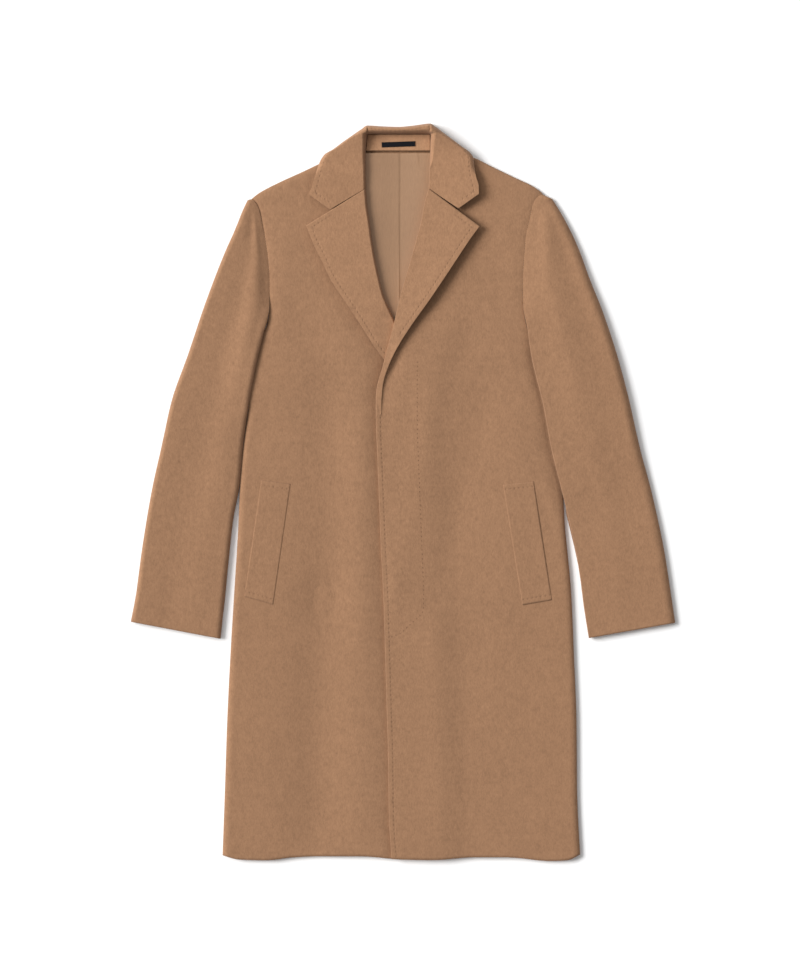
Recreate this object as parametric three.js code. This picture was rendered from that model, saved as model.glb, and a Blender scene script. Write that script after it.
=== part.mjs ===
// A wool overcoat, single breasted with a hidden button front, laid flat on its back on a surface.
// Millimetres, +Z up. Across runs from the wearer's right (minus) to the wearer's left (plus),
// up runs from the hem to the collar, and the hem lies at up = 0.
import * as THREE from "three";

// Cloth walls, with the lining and canvas that back them
const CLOTH = 3.5;
const LAPEL_CLOTH = 4;
const COLLAR_CLOTH = 3.4;
const LINING_CLOTH = 1.5;
const FACING_CLOTH = 2.2;
const WELT_CLOTH = 2.4;
const LABEL_CLOTH = 0.8;
const SEAM_GAP = 0.3;

// Heights of the layers above the surface
const BACK_TOP = CLOTH;
const REST = BACK_TOP + SEAM_GAP;
const UNDER_FRONT_TOP = REST + CLOTH;
const OVER_FRONT_TOP = UNDER_FRONT_TOP + SEAM_GAP + CLOTH;
const FRONT_TOP = UNDER_FRONT_TOP + 1.2;
const LINING_TOP = REST + LINING_CLOTH;

// Main lengths of the coat
const UNDERARM_UP = 690;
const SHOULDER_UP = 989;
const NECK_UP = 1070;
const NECK_ACROSS = 57;
const BREAK_UP = 684.3;
const OVERLAP = 64;
const SIDE_ROUND = 10;
const TURN_STEPS = 3;
const FLAP_ROUND = 6;

// Half sines and soft steps used for rounding and blending
const clamp01 = (value) => Math.min(1, Math.max(0, value));
const soft = (value) => {
  const part = clamp01(value);
  return part * part * (3 - 2 * part);
};
const mix = (from, to, part) => from + (to - from) * part;
const flat = (across, up) => new THREE.Vector2(across, up);

// Turns rows of numbers into records with the named columns
function table(names, rows) {
  const columns = names.split(" ");
  return rows.map((row) => Object.fromEntries(columns.map((name, i) => [name, row[i]])));
}

// Smooth curve through the rows of a table that never overshoots them
function along(rows, key, name, place) {
  const step = (i) => (rows[i + 1][name] - rows[i][name]) / (rows[i + 1][key] - rows[i][key]);
  const last = rows.length - 1;
  const slope = (i) => {
    if (i === 0) return step(0);
    if (i === last) return step(last - 1);
    const before = step(i - 1);
    const after = step(i);
    return before * after <= 0 ? 0 : (2 * before * after) / (before + after);
  };
  const spot = Math.min(Math.max(place, rows[0][key]), rows[last][key]);
  let i = 0;
  while (i < last - 1 && spot > rows[i + 1][key]) i += 1;
  const width = rows[i + 1][key] - rows[i][key];
  const t = (spot - rows[i][key]) / width;
  const u = 1 - t;
  const ends = rows[i][name] * u * u * (1 + 2 * t) + rows[i + 1][name] * t * t * (1 + 2 * u);
  return ends + width * t * u * (slope(i) * u - slope(i + 1) * t);
}

// Sides of the body from the hem to the underarm
const SIDES = table("up right left", [
  [0, -266, 270],
  [100, -262.5, 265.5],
  [200, -259.3, 264.8],
  [300, -254.5, 261],
  [400, -248.5, 256.5],
  [500, -242.3, 247],
  [560, -240, 243.5],
  [630, -233.5, 241],
  [UNDERARM_UP, -225, 237.5],
]);

// Armhole seams from the underarm to the shoulder point
const ARMHOLES = table("up right left", [
  [UNDERARM_UP, -225, 237.5],
  [720, -223, 222],
  [750, -216, 207],
  [780, -208.5, 195.5],
  [803, -198, 188.5],
  [835, -195.6, 184],
  [868, -195.6, 184],
  [900, -198, 185.9],
  [930, -202.3, 188.6],
  [950, -206.3, 193.6],
  [970, -210.5, 198],
  [980, -214.5, 202.5],
  [SHOULDER_UP, -222, 213.5],
]);

// Shoulder line from the shoulder point to the neck, the fold seen from above
const SHOULDERS = table("reach right left", [
  [0, SHOULDER_UP, 997],
  [12, 998, 1006],
  [45, 1015, 1022],
  [78, 1030, 1038],
  [100, 1040.5, 1049],
  [165, NECK_UP, NECK_UP],
]);

// Front edge of the upper front, which ends in the roll line of its lapel
const FRONT_EDGE = table("up edge roll", [
  [0, -12.5, -12.5],
  [60, -16.5, -16.5],
  [160, -18, -18],
  [237, -20.3, -20.3],
  [312, -22.5, -22.5],
  [387, -24.8, -24.8],
  [462, -28.5, -28.5],
  [537, -31.5, -31.5],
  [597, -33.8, -33.8],
  [657, -36, -36],
  [BREAK_UP, -36, -36],
  [BREAK_UP + 0.6, -29.4, -36],
  [700, -29, -35.5],
  [715, -25.8, -32.4],
  [736, -19.8, -26.3],
  [765, -12.1, -18.6],
  [800, -3.2, -9.7],
  [847, 8, 1.5],
  [888, 20, 13.5],
  [925, 30.5, 24],
  [954, 38, 31.5],
  [983, 43.3, 36.8],
  [1003, 49.5, 43],
  [1040, 50.5, 44],
  [NECK_UP, 52, 45.5],
]);

// Front edge of the lower front, hidden under the upper one below the lapels
const UNDER_EDGE = table("up edge", [
  [0, -12.5 + OVERLAP],
  [300, -22.5 + OVERLAP],
  [560, -31.5 + OVERLAP],
  [640, 30],
  [690, 14],
  [740, -4],
  [780, -16],
  [816, -22.5],
  [845, -31.3],
  [885, -41],
  [922, -47.8],
  [954, -52],
  [980, -55.7],
  [1003, -57.5],
  [NECK_UP, -57],
]);

// Small waves of the hem, which is level to within a few millimetres
const HEM = table("across up", [
  [-268, 5],
  [-240, -2],
  [-200, -3],
  [-160, 1.5],
  [-120, 3],
  [-60, 3],
  [0, -1.5],
  [50, -2.5],
  [110, 1.5],
  [160, 1.5],
  [225, -4],
  [250, -3],
  [271, 6],
]);

// Soft ridges (rise above zero) and troughs of the two fronts
const FRONT_FOLDS = table("across1 up1 across2 up2 width rise", [
  [-112, 690, -114, 390, 26, -0.9],
  [-114, 390, -120, 60, 30, -0.8],
  [-176, 560, -196, 90, 30, 1.0],
  [-72, 640, -80, 330, 18, 0.6],
  [-150, 860, -115, 760, 30, -0.6],
  [62, 690, 12, 400, 26, 1.3],
  [112, 690, 62, 380, 26, -0.9],
  [160, 640, 130, 200, 34, 0.9],
  [70, 330, 60, 60, 34, 0.7],
  [222, 560, 236, 470, 10, 0.7],
]);

// Height added at a place by the folds of a table
function foldRise(folds, across, up) {
  return folds.reduce((sum, fold) => {
    const start = flat(fold.across1, fold.up1);
    const run = flat(fold.across2, fold.up2).sub(start);
    const spot = flat(across, up).sub(start);
    const part = clamp01(spot.dot(run) / run.lengthSq());
    const away = spot.distanceTo(run.multiplyScalar(part));
    return sum + fold.rise * Math.exp(-((away / fold.width) ** 2));
  }, 0);
}

// Places across a strip: the rounded ends take a few steps each, the rest is even.
// Each place has a fraction for the outer face, one for the inner face, and its roundness.
function places(length, count, start, end, wall) {
  const list = [];
  const reach = (edge) => (edge ? Math.min(edge.round, 0.45 * length) : 0);
  const turn = (edge, step) => {
    const angle = (0.5 * Math.PI * step) / TURN_STEPS;
    const hold = edge.hold ?? 1;
    const outer = reach(edge) * (1 - Math.cos(angle));
    const inner = Math.min(outer + hold * wall * Math.cos(angle), Math.max(reach(edge), hold * wall));
    return { outer, inner, lift: Math.sin(angle) };
  };
  const add = (outer, inner, lift, edge) => list.push({ outer: outer / length, inner: inner / length, lift, edge });
  for (let i = 0; start && i < TURN_STEPS; i += 1) {
    const spot = turn(start, i);
    add(spot.outer, spot.inner, spot.lift, start);
  }
  for (let i = 0; i <= count; i += 1) {
    const spot = mix(reach(start), length - reach(end), i / count);
    add(spot, spot, 1, null);
  }
  for (let i = TURN_STEPS - 1; end && i >= 0; i -= 1) {
    const spot = turn(end, i);
    add(length - spot.outer, length - spot.inner, spot.lift, end);
  }
  return list;
}

// Height of a face where a rounded end brings it down to the end's foot
function brought(height, place) {
  if (!place.edge) return height;
  return height - (place.edge.hold ?? 1) * (1 - place.lift) * (height - place.edge.foot);
}

// Closed mesh from a grid of outer points and the matching grid of inner points
function closedWall(outer, inner) {
  const rows = outer.length;
  const columns = outer[0].length;
  const points = [...outer.flat(), ...inner.flat()];
  const at = (face, row, column) => face * rows * columns + row * columns + column;
  const faces = [];
  const quad = (a, b, c, d) => faces.push(a, b, c, a, c, d);
  for (let r = 0; r < rows - 1; r += 1) {
    for (let c = 0; c < columns - 1; c += 1) {
      quad(at(0, r, c), at(0, r, c + 1), at(0, r + 1, c + 1), at(0, r + 1, c));
      quad(at(1, r, c), at(1, r + 1, c), at(1, r + 1, c + 1), at(1, r, c + 1));
    }
    quad(at(0, r, 0), at(0, r + 1, 0), at(1, r + 1, 0), at(1, r, 0));
    quad(at(0, r + 1, columns - 1), at(0, r, columns - 1), at(1, r, columns - 1), at(1, r + 1, columns - 1));
  }
  for (let c = 0; c < columns - 1; c += 1) {
    quad(at(0, 0, c + 1), at(0, 0, c), at(1, 0, c), at(1, 0, c + 1));
    quad(at(0, rows - 1, c), at(0, rows - 1, c + 1), at(1, rows - 1, c + 1), at(1, rows - 1, c));
  }
  const volume = (i) => points[faces[i]].dot(points[faces[i + 1]].clone().cross(points[faces[i + 2]]));
  let total = 0;
  for (let i = 0; i < faces.length; i += 3) total += volume(i);
  if (total < 0) faces.reverse();
  const geometry = new THREE.BufferGeometry().setFromPoints(points);
  geometry.setIndex(faces);
  geometry.computeVertexNormals();
  return geometry;
}

// A cloth wall over a plan strip. plan(u, v) gives the place, rows and columns its steps,
// near and far its rounded ends along u, head its rounded end along v, top its outer height.
function clothWall({ plan, rows, columns, wall, near, far, head, headLength, top }) {
  const levels = rows.map((v) => ({ outer: v, inner: v, lift: 1, edge: null }));
  const reach = head ? head.round / headLength : 0;
  for (let i = TURN_STEPS; head && i >= 0; i -= 1) {
    const spot = places(headLength, 1, head, null, wall)[i];
    levels.push({ ...spot, outer: 1 - spot.outer, inner: 1 - spot.inner });
  }
  const face = (side) =>
    levels.map((level) => {
      const v = level[side];
      const length = plan(0, level.outer).distanceTo(plan(1, level.outer));
      const ends = [near?.(level.outer), far?.(level.outer)];
      return places(length, columns, ends[0], ends[1], wall).map((place) => {
        const spot = plan(place[side], v);
        const away = { near: place.outer * length, far: (1 - place.outer) * length };
        const crest = top(spot.x, spot.y, Math.min(level.outer, 1 - reach), away);
        const height = side === "outer" ? crest : crest - wall;
        return new THREE.Vector3(spot.x, spot.y, brought(brought(height, level), place));
      });
    });
  return closedWall(face("outer"), face("inner"));
}

// Even steps from one value to another, both kept
const steps = (from, to, count) => Array.from({ length: count + 1 }, (_, i) => mix(from, to, i / count));

// Plan strip between two edge curves, with a bow at its low end and one at its high end
function strip(nearEdge, farEdge, lowBow, highBow, lowFade, highFade) {
  return (u, v) => {
    const spot = nearEdge(v).clone().lerp(farEdge(v), u);
    if (lowBow) spot.addScaledVector(lowBow(u), soft(1 - v / lowFade));
    if (highBow) spot.addScaledVector(highBow(u), soft(1 - (1 - v) / highFade));
    return spot;
  };
}

// Side and armhole as one edge, the two parts of the body that the sleeves hide included
function bodyEdge(side, up) {
  return up < UNDERARM_UP ? along(SIDES, "up", side, up) : along(ARMHOLES, "up", side, up);
}

// The shoulder fold at a place across one half of the coat
function shoulderUp(side, across) {
  const outer = Math.abs(bodyEdge(side, SHOULDER_UP));
  return along(SHOULDERS, "reach", side, Math.min(165, outer - Math.abs(across)));
}

const hemUp = (across) => along(HEM, "across", "up", across);

// How far the shoulder's bow lifts the armhole seam at a level of its table
const SHOULDER_FADE = 0.12;
function seamRise(side, level) {
  const rise = shoulderUp(side, bodyEdge(side, SHOULDER_UP)) - SHOULDER_UP;
  return rise * soft(1 - (1 - Math.min(1, level / SHOULDER_UP)) / SHOULDER_FADE);
}

// Armhole seam at a height on the bowed front: its level is found in a few steps
const SEAM_TURNS = 4;
function seamAcross(side, up) {
  let level = up;
  for (let turn = 0; turn < SEAM_TURNS; turn++) level = up - seamRise(side, level);
  return bodyEdge(side, Math.min(level, SHOULDER_UP));
}

// Height of the two fronts away from their rounded sides
function frontTop(side, across, up) {
  const edge = along(FRONT_EDGE, "up", "edge", up);
  const folds = foldRise(FRONT_FOLDS, across, up);
  const inside = side === "right" ? edge - across : across - edge;
  const calm = soft((inside - 12) / 45) * soft((975 - up) / 60);
  const reach = Math.abs(bodyEdge(side, Math.min(up, SHOULDER_UP)) - across);
  const quiet = calm * soft((reach - 8) / 30);
  if (side === "right") return mix(UNDER_FRONT_TOP, FRONT_TOP, calm) + folds * quiet;
  const lifted = mix(FRONT_TOP, OVER_FRONT_TOP, soft((OVERLAP + 56 - inside) / 50));
  return mix(FRONT_TOP, lifted, soft((850 - up) / 60)) + folds * quiet;
}

// Rows of the fronts, closer together at the break of the lapels
const FRONT_ROWS = [
  ...steps(0, 0.6, 15),
  ...[0.62, 0.6394, 0.64015, 0.656, 0.675, 0.7],
  ...steps(0.72, 0.985, 11),
];

// One front: from its front edge to its side and armhole, from the hem to the shoulder
function frontGeometry(side) {
  const edgeTable = side === "left" ? FRONT_EDGE : UNDER_EDGE;
  const neckAcross = along(edgeTable, "up", "edge", NECK_UP);
  const nearEdge = (v) => flat(along(edgeTable, "up", "edge", v * NECK_UP), v * NECK_UP);
  const farEdge = (v) => flat(bodyEdge(side, v * SHOULDER_UP), v * SHOULDER_UP);
  const lowBow = (u) => flat(0, hemUp(nearEdge(0).clone().lerp(farEdge(0), u).x));
  const highBow = (u) => {
    const spot = flat(neckAcross, NECK_UP).lerp(farEdge(1), u);
    return flat(0, shoulderUp(side, spot.x) - spot.y);
  };
  const far = (v) => {
    const up = v * SHOULDER_UP;
    const hold = soft((UNDERARM_UP + 5 - up) / 45);
    return { round: SIDE_ROUND, foot: REST, hold };
  };
  return clothWall({
    plan: strip(nearEdge, farEdge, lowBow, highBow, 0.2, SHOULDER_FADE),
    rows: FRONT_ROWS,
    columns: 13,
    wall: CLOTH,
    far,
    head: { round: SIDE_ROUND, foot: REST },
    headLength: NECK_UP,
    top: (across, up) => frontTop(side, across, up),
  });
}

// Sleeves, one row for each section from the cuff to the shoulder point. Each row has the fold
// on the outer side, the fold or seam on the body side, and the heights of the upper sleeve:
// in its middle (crest), at the body side (brow), and where that side comes to rest (foot).
const SLEEVE_COLUMNS = "outerAcross outerUp innerAcross innerUp crest brow foot turn";
const SLEEVES = {
  right: table(SLEEVE_COLUMNS, [
    [-403.5, 355.5, -273, 330, 10.3, 10, REST, 1],
    [-396, 394.5, -264.8, 369, 10.6, 10.4, REST, 1],
    [-387, 462, -258, 435, 10.9, 10.6, REST, 1],
    [-372, 552, -250.5, 507, 10.9, 10.6, REST, 1],
    [-357, 619.5, -242.6, 559.5, 11, 10.8, REST, 1],
    [-342, 687, -237.2, 619.5, 11.4, 11.4, REST, 1],
    [-318, 754.5, -228.2, 681, 12, 14.2, 8.9, 1],
    [-295.5, 822, -213.8, 747, 12.2, 15, 9, 1],
    [-279, 867, -201.5, 799.5, 12, 13.4, 9, 0.7],
    [-261, 912, -196, 852, 11.8, 8.6, 9, 0],
    [-247.5, 942, -198.8, 904.5, 11.4, 8.5, 9, 0],
    [-235.5, 972, -206.3, 949.5, 10.6, 8.5, 9, 0],
    [-228.5, 986.5, -222.4, 988.5, 9, 8.5, 9, 0],
  ]),
  left: table(SLEEVE_COLUMNS, [
    [412.5, 354, 285, 333, 10.3, 10, REST, 1],
    [406.5, 394.5, 276.8, 369, 10.6, 10.4, REST, 1],
    [396, 462, 268.5, 432, 10.9, 10.6, REST, 1],
    [376.5, 552, 251.5, 507, 11, 10.8, REST, 1],
    [358.5, 619.5, 239.3, 555, 11.6, 13.6, 8.9, 1],
    [343.5, 687, 226.5, 615, 12, 15, 9.1, 1],
    [325.5, 754.5, 214.5, 679.5, 12.2, 15, 9.1, 1],
    [303, 822, 198, 747, 12.2, 15, 9.1, 1],
    [285, 867, 190.5, 796.5, 12, 13.4, 9, 0.7],
    [268.5, 912, 183.6, 852, 11.8, 8.6, 9, 0],
    [255, 942, 186, 904.5, 11.4, 8.5, 9, 0],
    [238.5, 972, 194.3, 954, 10.6, 8.5, 9, 0],
    [228, 988.5, 214.5, 996, 9, 8.5, 9, 0],
  ]),
};
const BROW_WIDTH = 46;
const SLEEVE_SEAM_UP = 803;
const UNDER_GAP = 3;

// A value of a sleeve at a fraction of its length
function sleeveAt(side, name, v) {
  const rows = SLEEVES[side].map((row, i) => ({ ...row, station: i / (SLEEVES[side].length - 1) }));
  return along(rows, "station", name, v);
}

// The body side of a sleeve keeps clear of the armhole seam where the two meet
function sleeveInner(side, v) {
  const up = sleeveAt(side, "innerUp", v);
  const across = sleeveAt(side, "innerAcross", v);
  if (up < SLEEVE_SEAM_UP) return flat(across, up);
  const sign = side === "left" ? 1 : -1;
  const seam = seamAcross(side, up) + sign * 2 * SEAM_GAP;
  return flat(seam, up);
}

const sleeveOuter = (side, v) => flat(sleeveAt(side, "outerAcross", v), sleeveAt(side, "outerUp", v));

// Upper sleeve: rounded down at its outer fold, at its inner fold and at the shoulder point
function topSleeveGeometry(side) {
  const near = (v) => ({
    round: 9,
    foot: sleeveAt(side, "foot", v),
    hold: sleeveAt(side, "turn", v),
  });
  return clothWall({
    plan: strip((v) => sleeveInner(side, v), (v) => sleeveOuter(side, v)),
    rows: steps(0, 0.985, 24),
    columns: 8,
    wall: CLOTH,
    near,
    far: () => ({ round: 13, foot: REST }),
    head: { round: 6, foot: REST },
    headLength: 600,
    top: (across, up, v, away) => {
      const crest = sleeveAt(side, "crest", v);
      const brow = sleeveAt(side, "brow", v);
      return mix(brow, crest, soft(away.near / BROW_WIDTH));
    },
  });
}

// A flat plate of cloth that rests on the surface
function plate(outline, thickness) {
  const shape = new THREE.Shape(outline);
  return new THREE.ExtrudeGeometry(shape, { depth: thickness, bevelEnabled: false });
}

// Under sleeve: the layer below, which stops where the back begins
function underSleeveGeometry(side) {
  const sign = side === "left" ? 1 : -1;
  const inner = steps(0, 0.995, 34).map((v) => {
    const spot = sleeveInner(side, v);
    const body = seamAcross(side, spot.y) + sign * UNDER_GAP;
    return flat(sign * Math.max(sign * spot.x, sign * body), spot.y);
  });
  const outer = steps(0.995, 0, 22).map((v) => sleeveOuter(side, v));
  return plate([...inner, ...outer], CLOTH);
}

// Back: one flat layer with the outline of the coat
function backGeometry() {
  const levels = [...steps(0, 0.65, 13), ...steps(0.67, 1, 24)].map((v) => v * SHOULDER_UP);
  const edge = (side, low) =>
    levels.map((up) => flat(bodyEdge(side, up), up ? up + seamRise(side, up) : low));
  const rightEdge = edge("right", hemUp(-266));
  const leftEdge = edge("left", hemUp(270));
  const reaches = [20, 45, 78, 110, 140];
  const shoulder = (side, sign) =>
    reaches.map((reach) => {
      const across = sign * (Math.abs(bodyEdge(side, SHOULDER_UP)) - reach);
      return flat(across, shoulderUp(side, across));
    });
  const neck = [flat(-NECK_ACROSS, NECK_UP), flat(-48, 1086), flat(44, 1086), flat(52, NECK_UP)];
  const hem = steps(250, -250, 16).map((across) => flat(across, hemUp(across)));
  return plate(
    [
      ...rightEdge,
      ...shoulder("right", -1),
      ...neck,
      ...shoulder("left", 1).reverse(),
      ...leftEdge.reverse(),
      ...hem,
    ],
    BACK_TOP,
  );
}

// Lapels, one row for each section from the break to the gorge: the roll line, the outer edge,
// the height by the roll, the lift of the outer edge and the height where the roll comes down
const LAPEL_COLUMNS = "rollAcross rollUp edgeAcross edgeUp crest lift foot";
const LAPELS = {
  right: table(LAPEL_COLUMNS, [
    [-14.4, 786, -25.8, 750.3, 11.8, 0.2, 7.8],
    [-15.6, 816, -38.3, 767.1, 12.2, 1.5, 6.4],
    [-24.8, 844.5, -57.8, 797.6, 12.8, 3, 5.8],
    [-34.5, 885, -81, 832.8, 13.2, 5, 5.8],
    [-41.3, 922.5, -102.8, 865.5, 13.4, 6, 5.8],
    [-45.5, 954, -117.8, 897, 13.6, 6, 5.8],
    [-49.2, 979.5, -130.5, 922.5, 13.8, 5, 5.8],
    [-51, 1003.2, -140.4, 948, 14, 3.5, 5.8],
  ]),
  left: table(LAPEL_COLUMNS, [
    [-36, 685.4, -27.7, 685.4, 15.4, 0, 7.8],
    [-35.5, 700, -27.2, 700, 15.5, 0, 7.8],
    [-32.4, 715.5, -24.6, 715.5, 15.6, 0, 7.8],
    [-26.3, 735.8, -18, 735.8, 15.7, 0.4, 7.8],
    [-18.6, 765.2, -9.9, 754, 15.9, 1, 7.8],
    [-9.7, 799.5, 3.2, 777.3, 16.2, 2, 7.8],
    [1.5, 846.8, 18.8, 801, 16, 4, 5.8],
    [13.5, 888, 45.6, 838.5, 15, 6.5, 5.8],
    [24, 925.5, 68.4, 872.3, 14.4, 8, 5.8],
    [31.5, 954, 87.7, 901.5, 14, 8, 5.8],
    [36.8, 982.5, 105.2, 927.8, 14, 7, 5.8],
    [42.9, 1002.8, 119.1, 946.7, 14, 5.5, 5.8],
  ]),
};

// Collar, one row for each section from the wearer's right end round the neck to the left end:
// the roll or foot line, the outer line, the height inside and outside, the rounding inside,
// and the outer end, free over the fronts (turn 0) or folded down behind the neck (turn 1)
const COLLAR = table("innerAcross innerUp outerAcross outerUp inside outside round foot end turn", [
  [-51, 1004.2, -136.6, 995.2, 14, 18, 6, 5.8, 14, 0],
  [-51.3, 1017, -132, 1006, 14.5, 18.5, 6, 5.8, 14, 0],
  [-51.5, 1032, -127.8, 1020, 15.5, 18.5, 6, 5.8, 13, 0],
  [-51.5, 1046, -123.5, 1034.5, 17, 18, 6, 5.8, 9.4, 0.6],
  [-51.3, 1058, -119.3, 1045.5, 18.5, 18, 6, 5.8, 9, 1],
  [-50.7, 1067, -113.3, 1055.1, 20, 18, 6.5, 5.8, 0.3, 1],
  [-50, 1075, -101, 1062.5, 22, 19, 7, 5.8, 0.3, 1],
  [-49.4, 1081, -86.3, 1073.4, 24, 21, 8, 4.2, 0.3, 1],
  [-48.6, 1084.8, -70.5, 1084.5, 26, 24, 9, REST, 0.3, 1],
  [-45, 1085.3, -58, 1093, 27, 26, 9, REST, 0.3, 1],
  [-38, 1085.4, -48, 1098.6, 28, 28, 9, REST, 0.3, 1],
  [-20, 1085.4, -21, 1097, 28, 28, 9, REST, 0.3, 1],
  [-2, 1085.4, -2, 1096.5, 28, 28, 9, REST, 0.3, 1],
  [17, 1085.4, 18, 1098.2, 28, 28, 9, REST, 0.3, 1],
  [35, 1085.4, 44, 1101.6, 28, 28, 9, REST, 0.3, 1],
  [41, 1085.3, 54, 1096, 27, 26, 9, REST, 0.3, 1],
  [45.4, 1084.8, 64, 1088.6, 26, 24, 9, REST, 0.3, 1],
  [45.6, 1081, 79.5, 1077, 24, 22, 8, 4.2, 0.3, 1],
  [45.4, 1075, 93, 1067, 22, 20, 7, 5.8, 0.3, 1],
  [45.2, 1067, 105.5, 1057.5, 20, 19, 6.5, 5.8, 0.3, 1],
  [45, 1058, 110.4, 1048.5, 18.5, 19, 6, 5.8, 9, 1],
  [44.7, 1046, 111.4, 1036.2, 17, 19.5, 6, 5.8, 9.4, 0.6],
  [44.2, 1032, 114, 1020.6, 15.5, 20, 6, 5.8, 13, 0],
  [43.7, 1017, 117.8, 1007, 14.5, 20, 6, 5.8, 14, 0],
  [43, 1003.9, 118.2, 995.6, 14, 20, 6, 5.8, 14, 0],
]);
const NOTCH_PART = 0.593;
const NOTCH_DROP = { right: flat(-2.6, -26.4), left: flat(0, -25) };

// Place on a line of a table at a fraction of its rows
const stationed = (rows) => rows.map((row, i) => ({ ...row, station: i / (rows.length - 1) }));
const lineOf = (rows, name) => (v) =>
  flat(along(rows, "station", name + "Across", v), along(rows, "station", name + "Up", v));

// Lapel: rounded at its roll line and lifted towards its free edge
function lapelGeometry(side) {
  const rows = stationed(LAPELS[side]);
  const value = (name, v) => along(rows, "station", name, v);
  return clothWall({
    plan: strip(lineOf(rows, "roll"), lineOf(rows, "edge")),
    rows: steps(0, 1, 20),
    columns: 7,
    wall: LAPEL_CLOTH,
    near: (v) => ({ round: FLAP_ROUND, foot: value("foot", v) }),
    top: (across, up, v, away) => {
      const width = away.near + away.far;
      return value("crest", v) + value("lift", v) * soft(away.near / width) ** 2;
    },
  });
}

// Collar: one strip round the neck, with a kink at each front end where the notch is
function collarGeometry() {
  const rows = stationed(COLLAR);
  const value = (name, v) => along(rows, "station", name, v);
  const kink = (u) => (u < NOTCH_PART ? u / NOTCH_PART : (1 - u) / (1 - NOTCH_PART));
  return clothWall({
    plan: strip(
      lineOf(rows, "inner"),
      lineOf(rows, "outer"),
      (u) => NOTCH_DROP.right.clone().multiplyScalar(kink(u)),
      (u) => NOTCH_DROP.left.clone().multiplyScalar(kink(u)),
      0.16,
      0.16,
    ),
    rows: steps(0, 1, 48),
    columns: 8,
    wall: COLLAR_CLOTH,
    near: (v) => ({ round: value("round", v), foot: value("foot", v) }),
    far: (v) => ({ round: 9, foot: value("end", v), hold: value("turn", v) }),
    top: (across, up, v, away) => {
      const part = away.near / (away.near + away.far);
      return mix(value("inside", v), value("outside", v), soft(part));
    },
  });
}

// Lining of the back inside the neck opening, with the pleat in its middle
const LINING = table("up right left", [
  [812, -14.5, -4.5],
  [847, -26, 3],
  [888, -35.5, 15],
  [925, -41.8, 25.5],
  [954, -45.8, 33],
  [983, -49.4, 38.3],
  [1003, -51.2, 43.6],
  [1057, -51.5, 45],
]);
const PLEAT_RISE = 1;
const PLEAT_WIDTH = 24;
function liningGeometry() {
  const up = (v) => mix(LINING[0].up, LINING.at(-1).up, v);
  const edge = (side, shift) => (v) => flat(along(LINING, "up", side, up(v)) + shift, up(v));
  return clothWall({
    plan: strip(edge("right", -2), edge("left", 2)),
    rows: steps(0, 1, 12),
    columns: 14,
    wall: LINING_CLOTH,
    top: (across, up) => {
      const beside = across < 0 ? -across / 8 : across / PLEAT_WIDTH;
      return LINING_TOP + PLEAT_RISE * (1 - soft(beside)) * soft((up - 870) / 60);
    },
  });
}

// Facing of the neck between the lining and the collar, and the plain label on it
function facingGeometry() {
  const outline = [flat(-46.8, 1060.6), flat(42, 1060.6), flat(42, 1083), flat(-44.5, 1083)];
  const facing = plate(outline, FACING_CLOTH);
  return facing.translate(0, 0, REST);
}
const LABEL = { length: 50, width: 7.5, across: -2.4, up: 1070, turn: 2 };
function labelGeometry() {
  const label = new THREE.BoxGeometry(LABEL.length, LABEL.width, LABEL_CLOTH);
  label.rotateZ(THREE.MathUtils.degToRad(LABEL.turn));
  const height = REST + FACING_CLOTH + SEAM_GAP + 0.5 * LABEL_CLOTH;
  return label.translate(LABEL.across, LABEL.up, height);
}

// Pocket welts, by their corners: the raised edge is the outer one
const WELT_CORNERS = {
  right: { topOut: flat(-208, 567.2), topIn: flat(-164.4, 561), lowOut: flat(-233.3, 392.7), lowIn: flat(-190.4, 380.4) },
  left: { topOut: flat(200.1, 564.9), topIn: flat(154.2, 560.3), lowOut: flat(227.3, 387.3), lowIn: flat(183.2, 379.7) },
};
const WELT_LIFT = 1.6;
function weltGeometry(side) {
  const { topOut, topIn, lowOut, lowIn } = WELT_CORNERS[side];
  const outer = (v) => lowOut.clone().lerp(topOut, v);
  const inner = (v) => lowIn.clone().lerp(topIn, v);
  return clothWall({
    plan: strip(inner, outer),
    rows: steps(0, 1, 10),
    columns: 5,
    wall: WELT_CLOTH,
    top: (across, up, v, away) => {
      const raised = WELT_LIFT * soft(1 - away.far / 20) * Math.sin(Math.PI * v);
      return frontTop(side, across, up) + SEAM_GAP + WELT_CLOTH + raised;
    },
  });
}

const wool = (name, colour) =>
  new THREE.MeshStandardMaterial({ name, color: colour, roughness: 0.92, metalness: 0 });
const WOOL = wool("wool", "#a98361");
const LINING_SATIN = new THREE.MeshStandardMaterial({
  name: "lining",
  color: "#a98266",
  roughness: 0.45,
  metalness: 0,
});
const LABEL_TAPE = new THREE.MeshStandardMaterial({
  name: "label",
  color: "#15151a",
  roughness: 0.7,
  metalness: 0,
});

const group = new THREE.Group();
function add(name, geometry, material = WOOL) {
  const mesh = new THREE.Mesh(geometry, material);
  mesh.name = name;
  group.add(mesh);
}

add("back", backGeometry());
add("front_right", frontGeometry("right"));
add("front_left", frontGeometry("left"));
add("top_sleeve_right", topSleeveGeometry("right"));
add("top_sleeve_left", topSleeveGeometry("left"));
add("under_sleeve_right", underSleeveGeometry("right"));
add("under_sleeve_left", underSleeveGeometry("left"));
add("lapel_right", lapelGeometry("right"));
add("lapel_left", lapelGeometry("left"));
add("collar", collarGeometry());
add("back_lining", liningGeometry(), LINING_SATIN);
add("neck_facing", facingGeometry());
add("label", labelGeometry(), LABEL_TAPE);
add("welt_right", weltGeometry("right"));
add("welt_left", weltGeometry("left"));

// The origin is at the middle of the coat's outline, on the surface
const box = new THREE.Box3().setFromObject(group);
const middle = box.getCenter(new THREE.Vector3());
group.position.set(-middle.x, -middle.y, -box.min.z);

export default group;
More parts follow.
